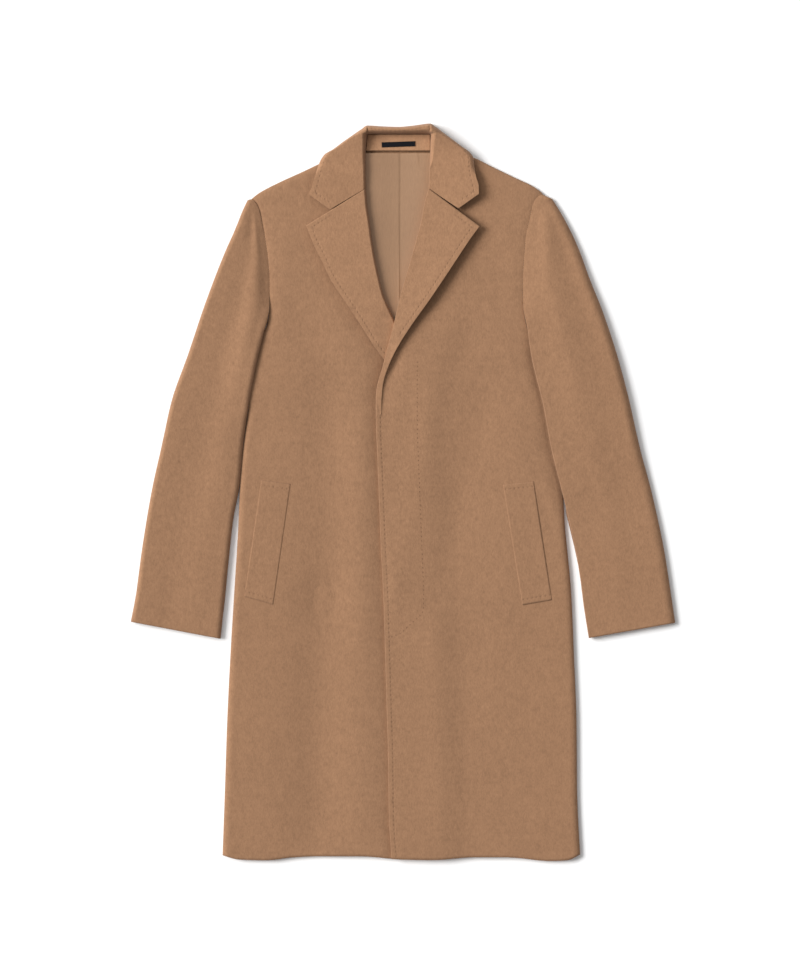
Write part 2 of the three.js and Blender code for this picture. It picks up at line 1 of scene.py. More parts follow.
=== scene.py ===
import bpy
import numpy as np
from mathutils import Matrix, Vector


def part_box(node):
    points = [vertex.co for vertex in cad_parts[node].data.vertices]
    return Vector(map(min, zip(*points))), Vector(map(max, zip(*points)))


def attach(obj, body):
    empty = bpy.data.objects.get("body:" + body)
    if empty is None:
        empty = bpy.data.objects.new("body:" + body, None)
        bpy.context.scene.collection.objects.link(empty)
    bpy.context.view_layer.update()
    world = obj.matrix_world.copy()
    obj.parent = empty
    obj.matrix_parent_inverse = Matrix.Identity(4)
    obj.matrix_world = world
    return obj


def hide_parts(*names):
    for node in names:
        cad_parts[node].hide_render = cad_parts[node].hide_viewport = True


bl_info = {
    "name": "Wool overcoat",
    "version": (1, 0, 0),
    "blender": (4, 5, 0),
    "location": "3D View > Sidebar > Overcoat",
    "description": "Dresses a wool overcoat laid flat: fronts, sleeves, lapels, collar, lining and stage",
    "category": "Object",
}

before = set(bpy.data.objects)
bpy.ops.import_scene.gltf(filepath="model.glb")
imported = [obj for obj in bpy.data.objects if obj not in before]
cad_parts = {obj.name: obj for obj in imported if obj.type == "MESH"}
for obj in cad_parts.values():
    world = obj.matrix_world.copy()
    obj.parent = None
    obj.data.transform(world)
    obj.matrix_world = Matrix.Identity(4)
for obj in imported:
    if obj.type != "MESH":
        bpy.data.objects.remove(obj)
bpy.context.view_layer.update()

# Sizes are in millimetres on the coat: across from its middle, up from its hem, height from the surface
MM = 0.001

# Cloth walls and heights of the layers
CLOTH = 3.5
LAPEL_CLOTH = 4.0
COLLAR_CLOTH = 3.4
LINING_CLOTH = 1.5
FACING_CLOTH = 2.2
LABEL_CLOTH = 0.8
SEAM_GAP = 0.3
FRONT_LOFT = 1.2
REST = CLOTH + SEAM_GAP
UNDER_FRONT_TOP = REST + CLOTH
OVER_FRONT_TOP = UNDER_FRONT_TOP + SEAM_GAP + CLOTH
FRONT_TOP = UNDER_FRONT_TOP + FRONT_LOFT
LINING_TOP = REST + LINING_CLOTH

# Main lengths
UNDERARM_UP = 690.0
SHOULDER_UP = 989.0
SHOULDER_REACH = 165.0
NECK_UP = 1070.0
BREAK_UP = 684.3
SLEEVE_SEAM_UP = 803.0
OVERLAP = 64.0

# Rounded ends: steps of the turn and its largest share of a row, the place held close to each end
# and its largest share, and the share of the length below a rounded head
TURN_STEPS = 7
MOST_ROUND = 0.45
EDGE_HOLD = 0.4
MOST_HOLD = 0.03
HEAD_SHARE = 0.985

# Fades are pairs, the place where one starts or ends and its reach

# Fronts: rows, rounded ends, and the bows of hem and shoulder as shares of the length
LOW_ROWS = 0.64
BREAK_BELOW = 1e-4
BREAK_ABOVE = 7e-4
HEM_FADE = 0.2
SHOULDER_FADE = 0.12
SIDE_ROUND = 10.0
SIDE_TOP = (UNDERARM_UP + 5, 45)
EDGE_ROUND = 0.5

# Fronts: where the folds are quiet, and the height near the edge and the overlap
FRONT_EASE = 0.35
EDGE_CALM = (12, 45)
EDGE_OPEN = (2, 14)
SHOULDER_CALM = (975, 60)
SEAM_CALM = (8, 30)
EDGE_FALL = 2.2
EDGE_FALL_REACH = 8.0
COVERED_REACH = 6.0
EDGE_TOP = (820, 60)
OVERLAP_SIDE = (OVERLAP + 56, 50)
OVERLAP_TOP = (850, 60)

# Puffed band along the front edge, with a groove at its inner side that deepens upwards
BAND = 8.6
BAND_RISE = 0.3
BAND_TOP = (700, 50)
BAND_SWELL_WIDTH = BAND / 2.4
BAND_GROOVE_WIDTH = 2.2
BAND_GROOVE = 0.5
BAND_GROOVE_MORE = 1.3
BAND_GROOVE_RISE = (540, 120)

# Soft groove of the armhole seam
SEAM_DEPTH = {"right": 2.4, "left": 1.5}
SEAM_REACH = 9.0
SEAM_TURNS = 4
SEAM_PLAY = 0.1
SEAM_FOOT = (UNDERARM_UP - 10, 60)
SLEEVE_SEAM_FOOT = (SLEEVE_SEAM_UP - 10, 50)
SLEEVE_JOIN = (SLEEVE_SEAM_UP - 30, 50)

# Sleeves
BROW_WIDTH = 46.0
INNER_ROUND = {"right": 9.0, "left": 0.8}
OUTER_ROUND = {"right": 7.0, "left": 13.0}
SLEEVE_HEAD_ROUND = 6.0
SLEEVE_LENGTH = 600.0
SLEEVE_EASE = 0.3
SLEEVE_EDGE_CALM = 22.0
SLEEVE_HEAD_CALM = (0.97, 0.12)
SLEEVE_DIP = 3.8
SLEEVE_DIP_REACH = 7.0
SLEEVE_DIP_TOP = (800, 60)
SLEEVE_DIP_FOOT = (470, 60)

# Lapels and collar
ROLL_ROUND = {"right": 4.0, "left": 0.5}
LAPEL_EASE = 0.25
LAPEL_EDGE_CALM = 12.0
LAPEL_NOTCH = 40.0
LAPEL_STITCHED_FROM = 23.0
FAR_OFF = 90.0
COLLAR_MIDDLE = (0.45, 0.1)
COLLAR_ROUND = 9.0
KINK_FADE = 0.16
STAND_MIDDLE = -1.7
STAND_EDGE = (46.3, 1.6)
STAND_FOOT = (1080, 4)
STAND_DROP = 2.6
STAND_GROOVE = 1.2
STAND_GROOVE_AT = 47.0
STAND_GROOVE_WIDTH = 1.1

# Lining: a valley with a step down at the centre pleat and a crease beside it
LINING_UNDER = 2.0
PLEAT_ACROSS = -0.8
PLEAT_STEP = 0.6
PLEAT_WIDTH = 1.4
VALLEY = 1.7
VALLEY_REACH = 40.0
VALLEY_FOOT = (800, 60)
CREASE_ACROSS = 27.0
CREASE_LEAN = 0.08
CREASE_STEP = 0.4
CREASE_WIDTH = 1.6
CREASE_FOOT = (1034, 10)
LINING_EASE = 0.3
LINING_EASE_TIGHT = (3, 2)
LINING_EASE_CALM = 4.0

# Neck facing, label and welts
NECK_LIFT = 3.0
LABEL_MIDDLE = np.array([-2.4, 1070.0])
LABEL_LENGTH = 50.0
LABEL_WIDTH = 7.5
LABEL_TURN = 2.0
WELT_SKIN = {"right": 0.5, "left": 0.6}
WELT_ROUND = 2.0
WELT_RAISE = 0.4
WELT_RAISE_REACH = 20.0

# Slight unevenness of soft cloth: lengths of the waves, their lean and their shifts
EASE_LENGTHS = (31.0, 97.0, 57.0, 83.0, 61.0)
EASE_LEANS = (0.6, 0.8)
EASE_SHIFTS = (1.3, 0.8, 2.1)

# Rows and columns of each surface at full fineness
GRIDS = {
    "front": (230, 84),
    "sleeve": (170, 44),
    "lapel": (130, 48),
    "collar": (300, 46),
    "lining": (120, 80),
    "facing": (20, 60),
    "label": (8, 30),
    "welt": (70, 24),
}
FEWEST = 4

# Threads of the line that holds the hidden button flap
THREAD_LENGTH = 2.2
THREAD_WIDTH = 0.8
THREAD_SINK = 0.15
THREAD_RINGS = 4
THREAD_SIDES = 8
THREAD_AHEAD = 0.5
THREAD_SHADE = 0.72
# Neck facing painted lighter, against the shade the collar casts on it
FACING_PAINTED_LIGHT = 1.28

# Layers of the brushed nap: scale, detail, roughness, stretch, share of the shade, share of the relief
NAP_LAYERS = (
    (9.0, 2.0, 0.55, None, 0.07, 0.0),
    (90.0, 4.0, 0.6, (1.0, 0.7, 1.0), 0.17, 0.0),
    (180.0, 3.0, 0.65, (1.2, 0.7, 1.0), 0.22, 0.5),
    (350.0, 4.0, 0.7, (1.4, 0.6, 1.0), 0.4, 0.7),
    (1400.0, 2.0, 0.6, None, 0.14, 1.0),
)

# Bumps are pairs, strength and depth in metres, and ramps are the places of their two colours
WOOL_RAMP = (0.25, 0.77)
WOOL_BUMP = (0.55, 0.0006)
WOOL_FINISH = {
    "Roughness": 0.93,
    "Specular IOR Level": 0.2,
    "Sheen Weight": 0.08,
    "Sheen Roughness": 0.6,
}

# Pick stitches: reach of their groove in metres, reach of a dent as a share of the spacing,
# soft start, depth of dent and groove, bump, and how dark their shadow is and how much of it shows
STITCH_REACH = 0.0019
DENT_REACH = 0.3
DENT_SOFT = 0.2
DENT_DEPTH = 0.85
STITCH_GROOVE = 0.12
STITCH_BUMP = (0.55, 0.0012)
STITCH_SHADE = 0.55
STITCH_SHADOW = 0.22

# Satin and label tape: tones below and above their colour, and their threads
SATIN_RAMP = (0.3, 0.7)
SATIN_TONES = (0.86, 1.08)
SATIN_WARP = (900.0, 2.0, 0.6, (1.0, 0.12, 1.0))
SATIN_CLOUD = (14.0, 2.0, 0.5, (1.0, 0.4, 1.0))
SATIN_SHARES = (0.55, 0.45)
SATIN_BUMP = (0.3, 0.0003)
SATIN_FINISH = {"Roughness": 0.42, "Specular IOR Level": 0.45}
TAPE_RAMP = (0.0, 1.0)
TAPE_TONES = (0.6, 1.5)
TAPE_WEAVE = (1500.0, 2.0, 0.6, (1.0, 0.3, 1.0))
TAPE_BUMP = (0.4, 0.0002)
TAPE_FINISH = {"Roughness": 0.85, "Specular IOR Level": 0.15}

# Stage, in metres: the floor, a far sun with its width in degrees, a square lamp, world and camera
FLOOR_HALF = 6.0
FLOOR_TONE = 0.95
FLOOR_ROUGH = 0.9
KEY_PLACE = (-1.0, 0.25, 0.7)
KEY_WIDTH = 30.0
KEY_POWER = 4.3
FILL_PLACE = (-0.6, 2.0, 1.8)
FILL_WIDTH = 1.2
FILL_POWER = 10.0
WORLD_LIGHT = 0.38
CAMERA_UP = 8.0
CAMERA_FAR = 30.0
SENSOR = 24.0
PHOTO_ROWS = 977
ROW_SIZE = 1.5 * MM
PHOTO_MIDDLE = np.array([0.0, 554.25])

# The neck facing lies square, so its corner ties the coat's sizes to the frame
FACING_LOW = np.array([-46.8, 1060.6])
SHIFT = FACING_LOW * MM - np.array(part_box("neck_facing")[0][:2])


def table(names, rows):
    """Named columns of a short table, as one array each."""
    columns = np.array(rows, dtype=float).T
    return dict(zip(names.split(), columns))


# Side of the body below the underarm: place across at each height on the page
SIDES = table(
    "up right left",
    [
        [0, -266, 270],
        [100, -262.5, 265.5],
        [200, -259.3, 264.8],
        [300, -254.5, 261],
        [400, -248.5, 256.5],
        [500, -242.3, 247],
        [560, -240, 243.5],
        [630, -233.5, 241],
        [UNDERARM_UP, -225, 237.5],
    ],
)

# Armhole seam, from the underarm to the shoulder fold
ARMHOLES = table(
    "up right left",
    [
        [UNDERARM_UP, -225, 237.5],
        [720, -223, 222],
        [750, -216, 207],
        [780, -208.5, 195.5],
        [803, -198, 188.5],
        [835, -195.6, 184],
        [868, -195.6, 184],
        [900, -198, 185.9],
        [930, -202.3, 188.6],
        [950, -206.3, 193.6],
        [970, -210.5, 198],
        [980, -214.5, 202.5],
        [SHOULDER_UP, -222, 213.5],
    ],
)

# Shoulder fold: height on the page at each reach in from the shoulder's end
SHOULDERS = table(
    "reach right left",
    [
        [0, SHOULDER_UP, 997],
        [12, 998, 1006],
        [45, 1015, 1022],
        [78, 1030, 1038],
        [100, 1040.5, 1049],
        [SHOULDER_REACH, NECK_UP, NECK_UP],
    ],
)

# Edge of the left front, from the hem to the break and on up its roll line
FRONT_EDGE = table(
    "up edge",
    [
        [0, -12.5],
        [60, -16.5],
        [160, -18],
        [237, -20.3],
        [312, -22.5],
        [387, -24.8],
        [462, -28.5],
        [537, -31.5],
        [597, -33.8],
        [657, -36],
        [BREAK_UP, -36],
        [700, -34.5],
        [715, -30.5],
        [736, -23],
        [765, -13.5],
        [800, -3.2],
        [847, 8],
        [888, 20],
        [925, 30.5],
        [954, 38],
        [983, 43.3],
        [1003, 49.5],
        [1040, 50.5],
        [NECK_UP, 52],
    ],
)

# Edge of the right front, hidden under the left one up to the break
UNDER_EDGE = table(
    "up edge",
    [
        [0, -12.5 + OVERLAP],
        [300, -22.5 + OVERLAP],
        [560, -31.5 + OVERLAP],
        [640, 30],
        [690, 14],
        [740, -4],
        [780, -16],
        [816, -22.5],
        [845, -31.3],
        [885, -41],
        [922, -47.8],
        [954, -52],
        [980, -55.7],
        [1003, -57.5],
        [NECK_UP, -57],
    ],
)

# Hem: height on the page at each place across
HEM = table(
    "across up",
    [
        [-268, 5],
        [-240, -2],
        [-200, -3],
        [-160, 1.5],
        [-120, 3],
        [-60, 3],
        [0, -1.5],
        [50, -2.5],
        [110, 1.5],
        [160, 1.5],
        [225, -4],
        [250, -3],
        [271, 6],
    ],
)

# Soft ridges (rise above zero) and troughs of the fronts: from one place to another
FRONT_FOLDS = table(
    "across1 up1 across2 up2 width rise",
    [
        [-111, 700, -111, 390, 32, -2.3],
        [-114, 390, -128, 40, 38, -3.9],
        [-182, 700, -200, 400, 28, 0.3],
        [-206, 330, -212, 60, 26, 0.2],
        [-54, 640, -58, 340, 24, 2.0],
        [-62, 300, -58, 60, 24, 0.8],
        [-168, 830, -112, 750, 26, -1.1],
        [-132, 905, -124, 790, 32, -1.3],
        [-104, 870, -64, 802, 13, -1.2],
        [-50, 800, -20, 742, 18, -2.2],
        [-20, 742, -34, 690, 18, -1.5],
        [-34, 690, -36, 600, 18, -1.0],
        [52, 690, -12, 390, 24, 1.3],
        [127, 690, 56, 387, 26, -1.3],
        [170, 640, 140, 200, 34, 1.0],
        [56, 330, 70, 60, 30, 0.9],
        [100, 860, 150, 760, 30, 0.8],
        [222, 565, 240, 500, 7, 0.9],
        [214, 540, 236, 470, 6, -0.7],
    ],
)

# Upper sleeves from cuff to head: outer and inner fold, height along the middle and along
# the inner fold, foot of that fold, and how far it turns down
SLEEVE_COLUMNS = "outerAcross outerUp innerAcross innerUp crest brow foot turn"
SLEEVES = {
    "right": table(
        SLEEVE_COLUMNS,
        [
            [-403.5, 354.5, -269, 329, 10.3, 10, REST, 1],
            [-396, 394.5, -264.8, 369, 10.6, 10.4, REST, 1],
            [-387, 462, -258, 435, 10.9, 10.6, REST, 1],
            [-372, 552, -250, 507, 10.9, 10.6, REST, 1],
            [-357, 619.5, -240.3, 559.5, 11, 10.8, REST, 1],
            [-342, 687, -234.8, 619.5, 11.4, 11.4, REST, 1],
            [-318, 754.5, -226.3, 681, 12, 14.2, 8.9, 1],
            [-295.5, 822, -213.8, 747, 12.2, 15, 9, 1],
            [-279, 867, -201.5, 799.5, 12, 13.4, 9, 0.7],
            [-261, 912, -196, 852, 11.8, 8.6, 9, 0],
            [-247.5, 942, -198.8, 904.5, 11.4, 8.5, 9, 0],
            [-235.5, 972, -206.3, 949.5, 10.6, 8.5, 9, 0],
            [-228.5, 986.5, -222.4, 988.5, 9, 8.5, 9, 0],
        ],
    ),
    "left": table(
        SLEEVE_COLUMNS,
        [
            [412.5, 353, 283, 330, 10.3, 10, REST, 1],
            [406.5, 394.5, 276.8, 369, 10.6, 10.4, REST, 1],
            [396, 462, 268.5, 432, 10.9, 10.6, REST, 1],
            [376.5, 552, 253, 507, 11, 10.8, REST, 1],
            [358.5, 619.5, 241.3, 555, 13, 12.5, 8.9, 1],
            [343.5, 687, 226.5, 615, 14.2, 12.7, 9.1, 1],
            [325.5, 754.5, 214.5, 679.5, 14.6, 12.8, 9.1, 1],
            [303, 822, 198, 747, 14.2, 12.8, 9.1, 1],
            [285, 867, 190.5, 796.5, 13.2, 12.6, 9, 0.7],
            [268.5, 912, 183.6, 852, 11.8, 8.6, 9, 0],
            [255, 942, 186, 904.5, 11.4, 8.5, 9, 0],
            [238.5, 972, 194.3, 954, 10.6, 8.5, 9, 0],
            [228, 988.5, 214.5, 996, 9, 8.5, 9, 0],
        ],
    ),
}

# Creases of the sleeves, given by the fraction of length and width where each starts and ends
SLEEVE_FOLDS = {
    "right": table(
        "u1 v1 u2 v2 width rise",
        [
            [0.36, 0.9, 0.3, 0.65, 0.14, 1.6],
            [0.3, 0.65, 0.2, 0.42, 0.17, 1.0],
            [0.52, 0.85, 0.5, 0.12, 0.2, -1.3],
            [0.3, 0.3, 0.4, 0.1, 0.15, 0.6],
            [0.7, 0.3, 0.6, 0.05, 0.12, -0.5],
        ],
    ),
    "left": table(
        "u1 v1 u2 v2 width rise",
        [
            [0.5, 0.9, 0.46, 0.62, 0.14, 1.3],
            [0.8, 0.86, 0.78, 0.6, 0.12, -0.9],
            [0.46, 0.55, 0.5, 0.2, 0.18, 0.7],
            [0.2, 0.5, 0.3, 0.38, 0.1, -0.5],
            [0.7, 0.3, 0.55, 0.08, 0.12, -0.5],
        ],
    ),
}

# Lapels from the break up: roll line, free edge, height, lift of the edge and foot of the roll
LAPEL_COLUMNS = "rollAcross rollUp edgeAcross edgeUp crest lift foot"
LAPELS = {
    "right": table(
        LAPEL_COLUMNS,
        [
            [2, 784, -20.4, 743, 10.8, 0.2, 7.8],
            [-13, 816, -38.3, 767.1, 12.4, 1.2, 6.4],
            [-24.8, 844.5, -57.8, 797.6, 14.4, 0.4, 5.8],
            [-34.5, 885, -81, 832.8, 15.6, 0.6, 5.8],
            [-41.3, 922.5, -102.8, 865.5, 16.2, 0.7, 5.8],
            [-45.5, 954, -117.8, 897, 16.4, 0.7, 5.8],
            [-49.2, 979.5, -130.5, 922.5, 16.4, 0.6, 5.8],
            [-51, 1003.5, -140.4, 948, 16.4, 0.4, 5.8],
        ],
    ),
    "left": table(
        LAPEL_COLUMNS,
        [
            [-36.2, 664, -28, 664, 11, 0, 7.6],
            [-36.2, 682, -27.9, 682, 11.2, 0, 7.6],
            [-35.5, 700, -26.8, 700, 11.9, 0, 7.6],
            [-32.4, 715.5, -24.6, 715.5, 13.4, 0, 7.7],
            [-26.3, 735.8, -18, 735.8, 14.6, 0.4, 7.8],
            [-18.6, 765.2, -9.9, 754, 15.9, 1, 7.8],
            [-9.7, 799.5, 3.2, 777.3, 18.7, 0.3, 7.8],
            [1.5, 846.8, 18.8, 801, 19.5, 0.7, 5.8],
            [13.5, 888, 45.6, 838.5, 19.7, 1.2, 5.8],
            [24, 925.5, 68.4, 872.3, 19.5, 1.5, 5.8],
            [31.5, 954, 87.7, 901.5, 19.1, 1.5, 5.8],
            [36.8, 982.5, 105.2, 927.8, 18.7, 1.3, 5.8],
            [42.9, 1003.1, 119.1, 946.7, 18.1, 1, 5.8],
        ],
    ),
}

# Collar from the right front end round the neck to the left one: inner and outer line, their
# heights, round and foot of the roll, foot of the outer edge, and how far both turn down
COLLAR = table(
    "innerAcross innerUp outerAcross outerUp inside outside round foot end turn",
    [
        [-51, 1003.7, -136.6, 994.7, 16, 18.4, 6, 5.8, 14, 0],
        [-51.3, 1017, -132, 1006, 16.6, 18.8, 6, 5.8, 14, 0],
        [-51.5, 1032, -127.8, 1020, 17.4, 18.8, 6, 5.8, 13, 0],
        [-51.5, 1046, -123.5, 1034.5, 18, 18.4, 6, 5.8, 9.4, 0.6],
        [-51.3, 1058, -119.3, 1045.5, 18.5, 18, 6, 5.8, 9, 1],
        [-50.7, 1067, -113.3, 1055.1, 20, 18, 6.5, 5.8, 0.3, 1],
        [-50, 1075, -101, 1062.5, 22, 19, 7, 5.8, 0.3, 1],
        [-49.4, 1081, -86.3, 1073.4, 24, 21, 8, 4.2, 0.3, 1],
        [-48.6, 1084.8, -70.5, 1084.5, 26, 24, 9, REST, 0.3, 1],
        [-45, 1085.3, -58, 1093, 27, 26, 9, REST, 0.3, 1],
        [-38, 1085.4, -48, 1098.6, 28, 28, 9, REST, 0.3, 1],
        [-20, 1085.4, -21, 1097, 28, 28, 9, REST, 0.3, 1],
        [-2, 1085.4, -2, 1096.5, 28, 28, 9, REST, 0.3, 1],
        [17, 1085.4, 18, 1098.2, 28, 28, 9, REST, 0.3, 1],
        [35, 1085.4, 44, 1101.6, 28, 28, 9, REST, 0.3, 1],
        [41, 1085.3, 54, 1096, 27, 26, 9, REST, 0.3, 1],
        [45.4, 1084.8, 64, 1088.6, 26, 24, 9, REST, 0.3, 1],
        [45.6, 1081, 79.5, 1077, 24, 22, 8, 4.2, 0.3, 1],
        [45.4, 1075, 93, 1067, 22, 20, 7, 5.8, 0.3, 1],
        [45.2, 1067, 105.5, 1057.5, 20, 19, 6.5, 5.8, 0.3, 1],
        [45, 1058, 110.4, 1048.5, 18.5, 19, 6, 5.8, 9, 1],
        [44.7, 1046, 111.4, 1036.2, 18.4, 19.8, 6, 5.8, 9.4, 0.6],
        [44.2, 1032, 114, 1020.6, 18, 20, 6, 5.8, 13, 0],
        [43.7, 1017, 117.8, 1007, 17.4, 20, 6, 5.8, 14, 0],
        [43, 1003.3, 118.2, 995, 16.8, 20, 6, 5.8, 14, 0],
    ],
)
# Notch: where its corner is on the collar's end, and how far it drops
NOTCH_PART = 0.593
NOTCH_DROP = {"right": (-2.6, -26.4), "left": (0.0, -25.0)}

# Back lining: its right and left edge at each height on the page
LINING = table(
    "up right left",
    [
        [785, -9, -6],
        [812, -14.5, -4.5],
        [847, -26, 3],
        [888, -35.5, 15],
        [925, -41.8, 25.5],
        [954, -45.8, 33],
        [983, -49.4, 38.3],
        [1003, -51.2, 43.6],
        [1057, -51.5, 45],
    ],
)

# Neck facing: lower and upper corners
FACING = table("up right left", [[1060.6, -50.6, 44.9], [1084.7, -48.3, 44.8]])

# Line that holds the hidden button flap, from the lapel down and round to the front edge
FLAP_LINE = table(
    "across up",
    [
        [25.5, 747],
        [25.5, 642],
        [35, 402],
        [35, 371],
        [29.3, 363.5],
        [11.1, 347.1],
        [1.5, 337.5],
        [-13, 332],
    ],
)

# Corners of each welt: upper outer, upper inner, lower outer and lower inner
WELTS = {
    "right": table("across up", [[-208, 567.2], [-164.4, 561], [-233.3, 392.7], [-190.4, 380.4]]),
    "left": table("across up", [[200.1, 564.9], [154.2, 560.3], [227.3, 387.3], [183.2, 379.7]]),
}


def soft(part):
    """Smooth step from 0 to 1: three squares less two cubes of the part."""
    part = np.clip(part, 0.0, 1.0)
    return part * part * (3.0 - 2.0 * part)


def mix(a, b, part):
    """Straight blend from a to b."""
    return a + (b - a) * part


def rising(place, start, reach):
    """Soft step up: 0 at the start and 1 a reach beyond it."""
    return soft((place - start) / reach)


def falling(place, end, reach):
    """Soft step down: 1 a reach before the end and 0 at it."""
    return soft((end - place) / reach)


def bell(place, width):
    """Bell curve: e to the power of minus the square of place over width."""
    return np.exp(-((place / width) ** 2))


def fading(place, reach):
    """Fall to both sides: e to the power of minus the distance over the reach."""
    return np.exp(-np.abs(place) / reach)


def along(rows, key, name, place):
    """Cubic through a table's rows.

    Each slope is the harmonic mean of the steps beside it, so the curve never overshoots.
    """
    xs, ys = rows[key], rows[name]
    step = np.diff(ys) / np.diff(xs)
    before, after = step[:-1], step[1:]
    same = before * after > 0
    mean = np.where(same, 2 * before * after / np.where(same, before + after, 1.0), 0.0)
    slope = np.concatenate([step[:1], mean, step[-1:]])
    spot = np.clip(place, xs[0], xs[-1])
    i = np.clip(np.searchsorted(xs, spot, side="right") - 1, 0, len(xs) - 2)
    width = xs[i + 1] - xs[i]
    t = (spot - xs[i]) / width
    u = 1.0 - t
    ends = ys[i] * u * u * (1 + 2 * t) + ys[i + 1] * t * t * (1 + 2 * u)
    return ends + width * t * u * (slope[i] * u - slope[i + 1] * t)


def stationed(rows):
    """Reader of a table by the fraction of its length, with its rows evenly spaced."""
    count = len(next(iter(rows.values())))
    rows = {**rows, "station": np.linspace(0.0, 1.0, count)}

    def value(name, v):
        return along(rows, "station", name, v)

    return value


def line_of(rows, name):
    """Plan line of a table: its Across and Up columns at a fraction of the length."""
    value = stationed(rows)

    def at(v):
        return np.stack([value(name + "Across", v), value(name + "Up", v)], -1)

    return at


def strip(near, far, low_bow=None, high_bow=None, low_fade=1.0, high_fade=1.0):
    """Plan of a strip: straight between two edge lines, plus a bow at each end that fades along it."""

    def plan(u, v):
        spot = mix(near(v), far(v), u[..., None])
        if low_bow:
            spot = spot + low_bow(u) * soft(1 - v / low_fade)[..., None]
        if high_bow:
            spot = spot + high_bow(u) * soft(1 - (1 - v) / high_fade)[..., None]
        return spot

    return plan


def places(length, count, start, end, wall):
    """Places across rows of given lengths.

    A rounded end follows a quarter circle. The rest is even, with one place close to each end so that
    the edge shades crisply. Returns the outer and inner fractions, the roundness (sine of the turn)
    and which end each place is on.
    """
    angle = 0.5 * np.pi * np.arange(TURN_STEPS) / TURN_STEPS

    def reach(edge):
        return np.minimum(edge["round"], MOST_ROUND * length) if edge else np.zeros_like(length)

    def turn(edge):
        size = reach(edge)[:, None]
        hold = np.broadcast_to(edge.get("hold", 1.0), length.shape)[:, None]
        outer = size * (1 - np.cos(angle))
        inner = np.minimum(outer + hold * wall * np.cos(angle), np.maximum(size, hold * wall))
        return outer, inner

    hold = np.minimum(EDGE_HOLD / length, MOST_HOLD)[:, None]
    even = np.hstack([0 * hold, mix(hold, 1 - hold, np.linspace(0.0, 1.0, count - 1)), 1 + 0 * hold])
    middle = mix(reach(start)[:, None], (length - reach(end))[:, None], even)
    outer, inner = [middle], [middle]
    lift, side = [np.ones(count + 1)], [np.zeros(count + 1)]
    if start:
        a, b = turn(start)
        outer, inner = [a] + outer, [b] + inner
        lift, side = [np.sin(angle)] + lift, [-np.ones(TURN_STEPS)] + side
    if end:
        a, b = turn(end)
        outer, inner = outer + [length[:, None] - a[:, ::-1]], inner + [length[:, None] - b[:, ::-1]]
        lift, side = lift + [np.sin(angle)[::-1]], side + [np.ones(TURN_STEPS)]
    scale = length[:, None]
    return np.hstack(outer) / scale, np.hstack(inner) / scale, np.concatenate(lift), np.concatenate(side)


def cloth_wall(plan, rows, columns, wall, top, near=None, far=None, head=None, head_length=1.0):
    """Outer and inner face of a cloth wall, as two grids of points.

    The outer face is at top(across, up, v, away) and the inner one lies a wall below. A rounded end
    scales the height above its foot by the sine of the turn, and moves the inner face in by its cosine.
    """
    level_outer = level_inner = np.asarray(rows)
    level_lift, level_on = np.ones(len(rows)), np.zeros(len(rows), bool)
    if head:
        one = np.array([head_length])
        a, b, lift, _ = places(one, 1, head, None, wall)
        pick = slice(TURN_STEPS, None, -1)
        level_outer = np.concatenate([level_outer, 1 - a[0][pick]])
        level_inner = np.concatenate([level_inner, 1 - b[0][pick]])
        level_lift = np.concatenate([level_lift, lift[pick]])
        level_on = np.concatenate([level_on, np.ones(TURN_STEPS + 1, bool)])
    zero, full = np.zeros_like(level_outer), np.ones_like(level_outer)
    length = np.linalg.norm(plan(zero, level_outer) - plan(full, level_outer), axis=-1)
    ends = [near(level_outer) if near else None, far(level_outer) if far else None]
    outer, inner, lift, side = places(length, columns, ends[0], ends[1], wall)
    away = (outer * length[:, None], (1 - outer) * length[:, None])
    reach = head["round"] / head_length if head else 0.0
    crest_v = np.minimum(level_outer, 1 - reach)[:, None] + 0 * outer
    faces = []
    for fraction, v, drop in ((outer, level_outer, 0.0), (inner, level_inner, wall)):
        spot = plan(fraction, v[:, None] + 0 * fraction)
        height = top(spot[..., 0], spot[..., 1], crest_v, away) - drop
        if head:
            down = np.where(level_on, 1 - level_lift, 0.0)[:, None]
            height = height - down * (height - head["foot"])
        for edge, mark in ((ends[0], -1), (ends[1], 1)):
            if edge:
                hold = np.broadcast_to(edge.get("hold", 1.0), length.shape)[:, None]
                foot = np.broadcast_to(edge["foot"], length.shape)[:, None]
                down = np.where(side == mark, 1 - lift, 0.0) * hold
                height = height - down * (height - foot)
        faces.append(np.dstack([spot, height]))
    return faces[0], faces[1], away


def placed(name, data):
    """Object of a mesh, lamp or camera, put in the scene at the origin."""
    obj = bpy.data.objects.new(name, data)
    bpy.context.scene.collection.objects.link(obj)
    return obj


def grid_quads(rows, columns, start):
    """Corner numbers of the squares of a grid whose points are counted row by row."""
    low = start + (np.arange(rows - 1)[:, None] * columns + np.arange(columns - 1)).ravel()
    return np.stack([low, low + 1, low + columns + 1, low + columns], 1)


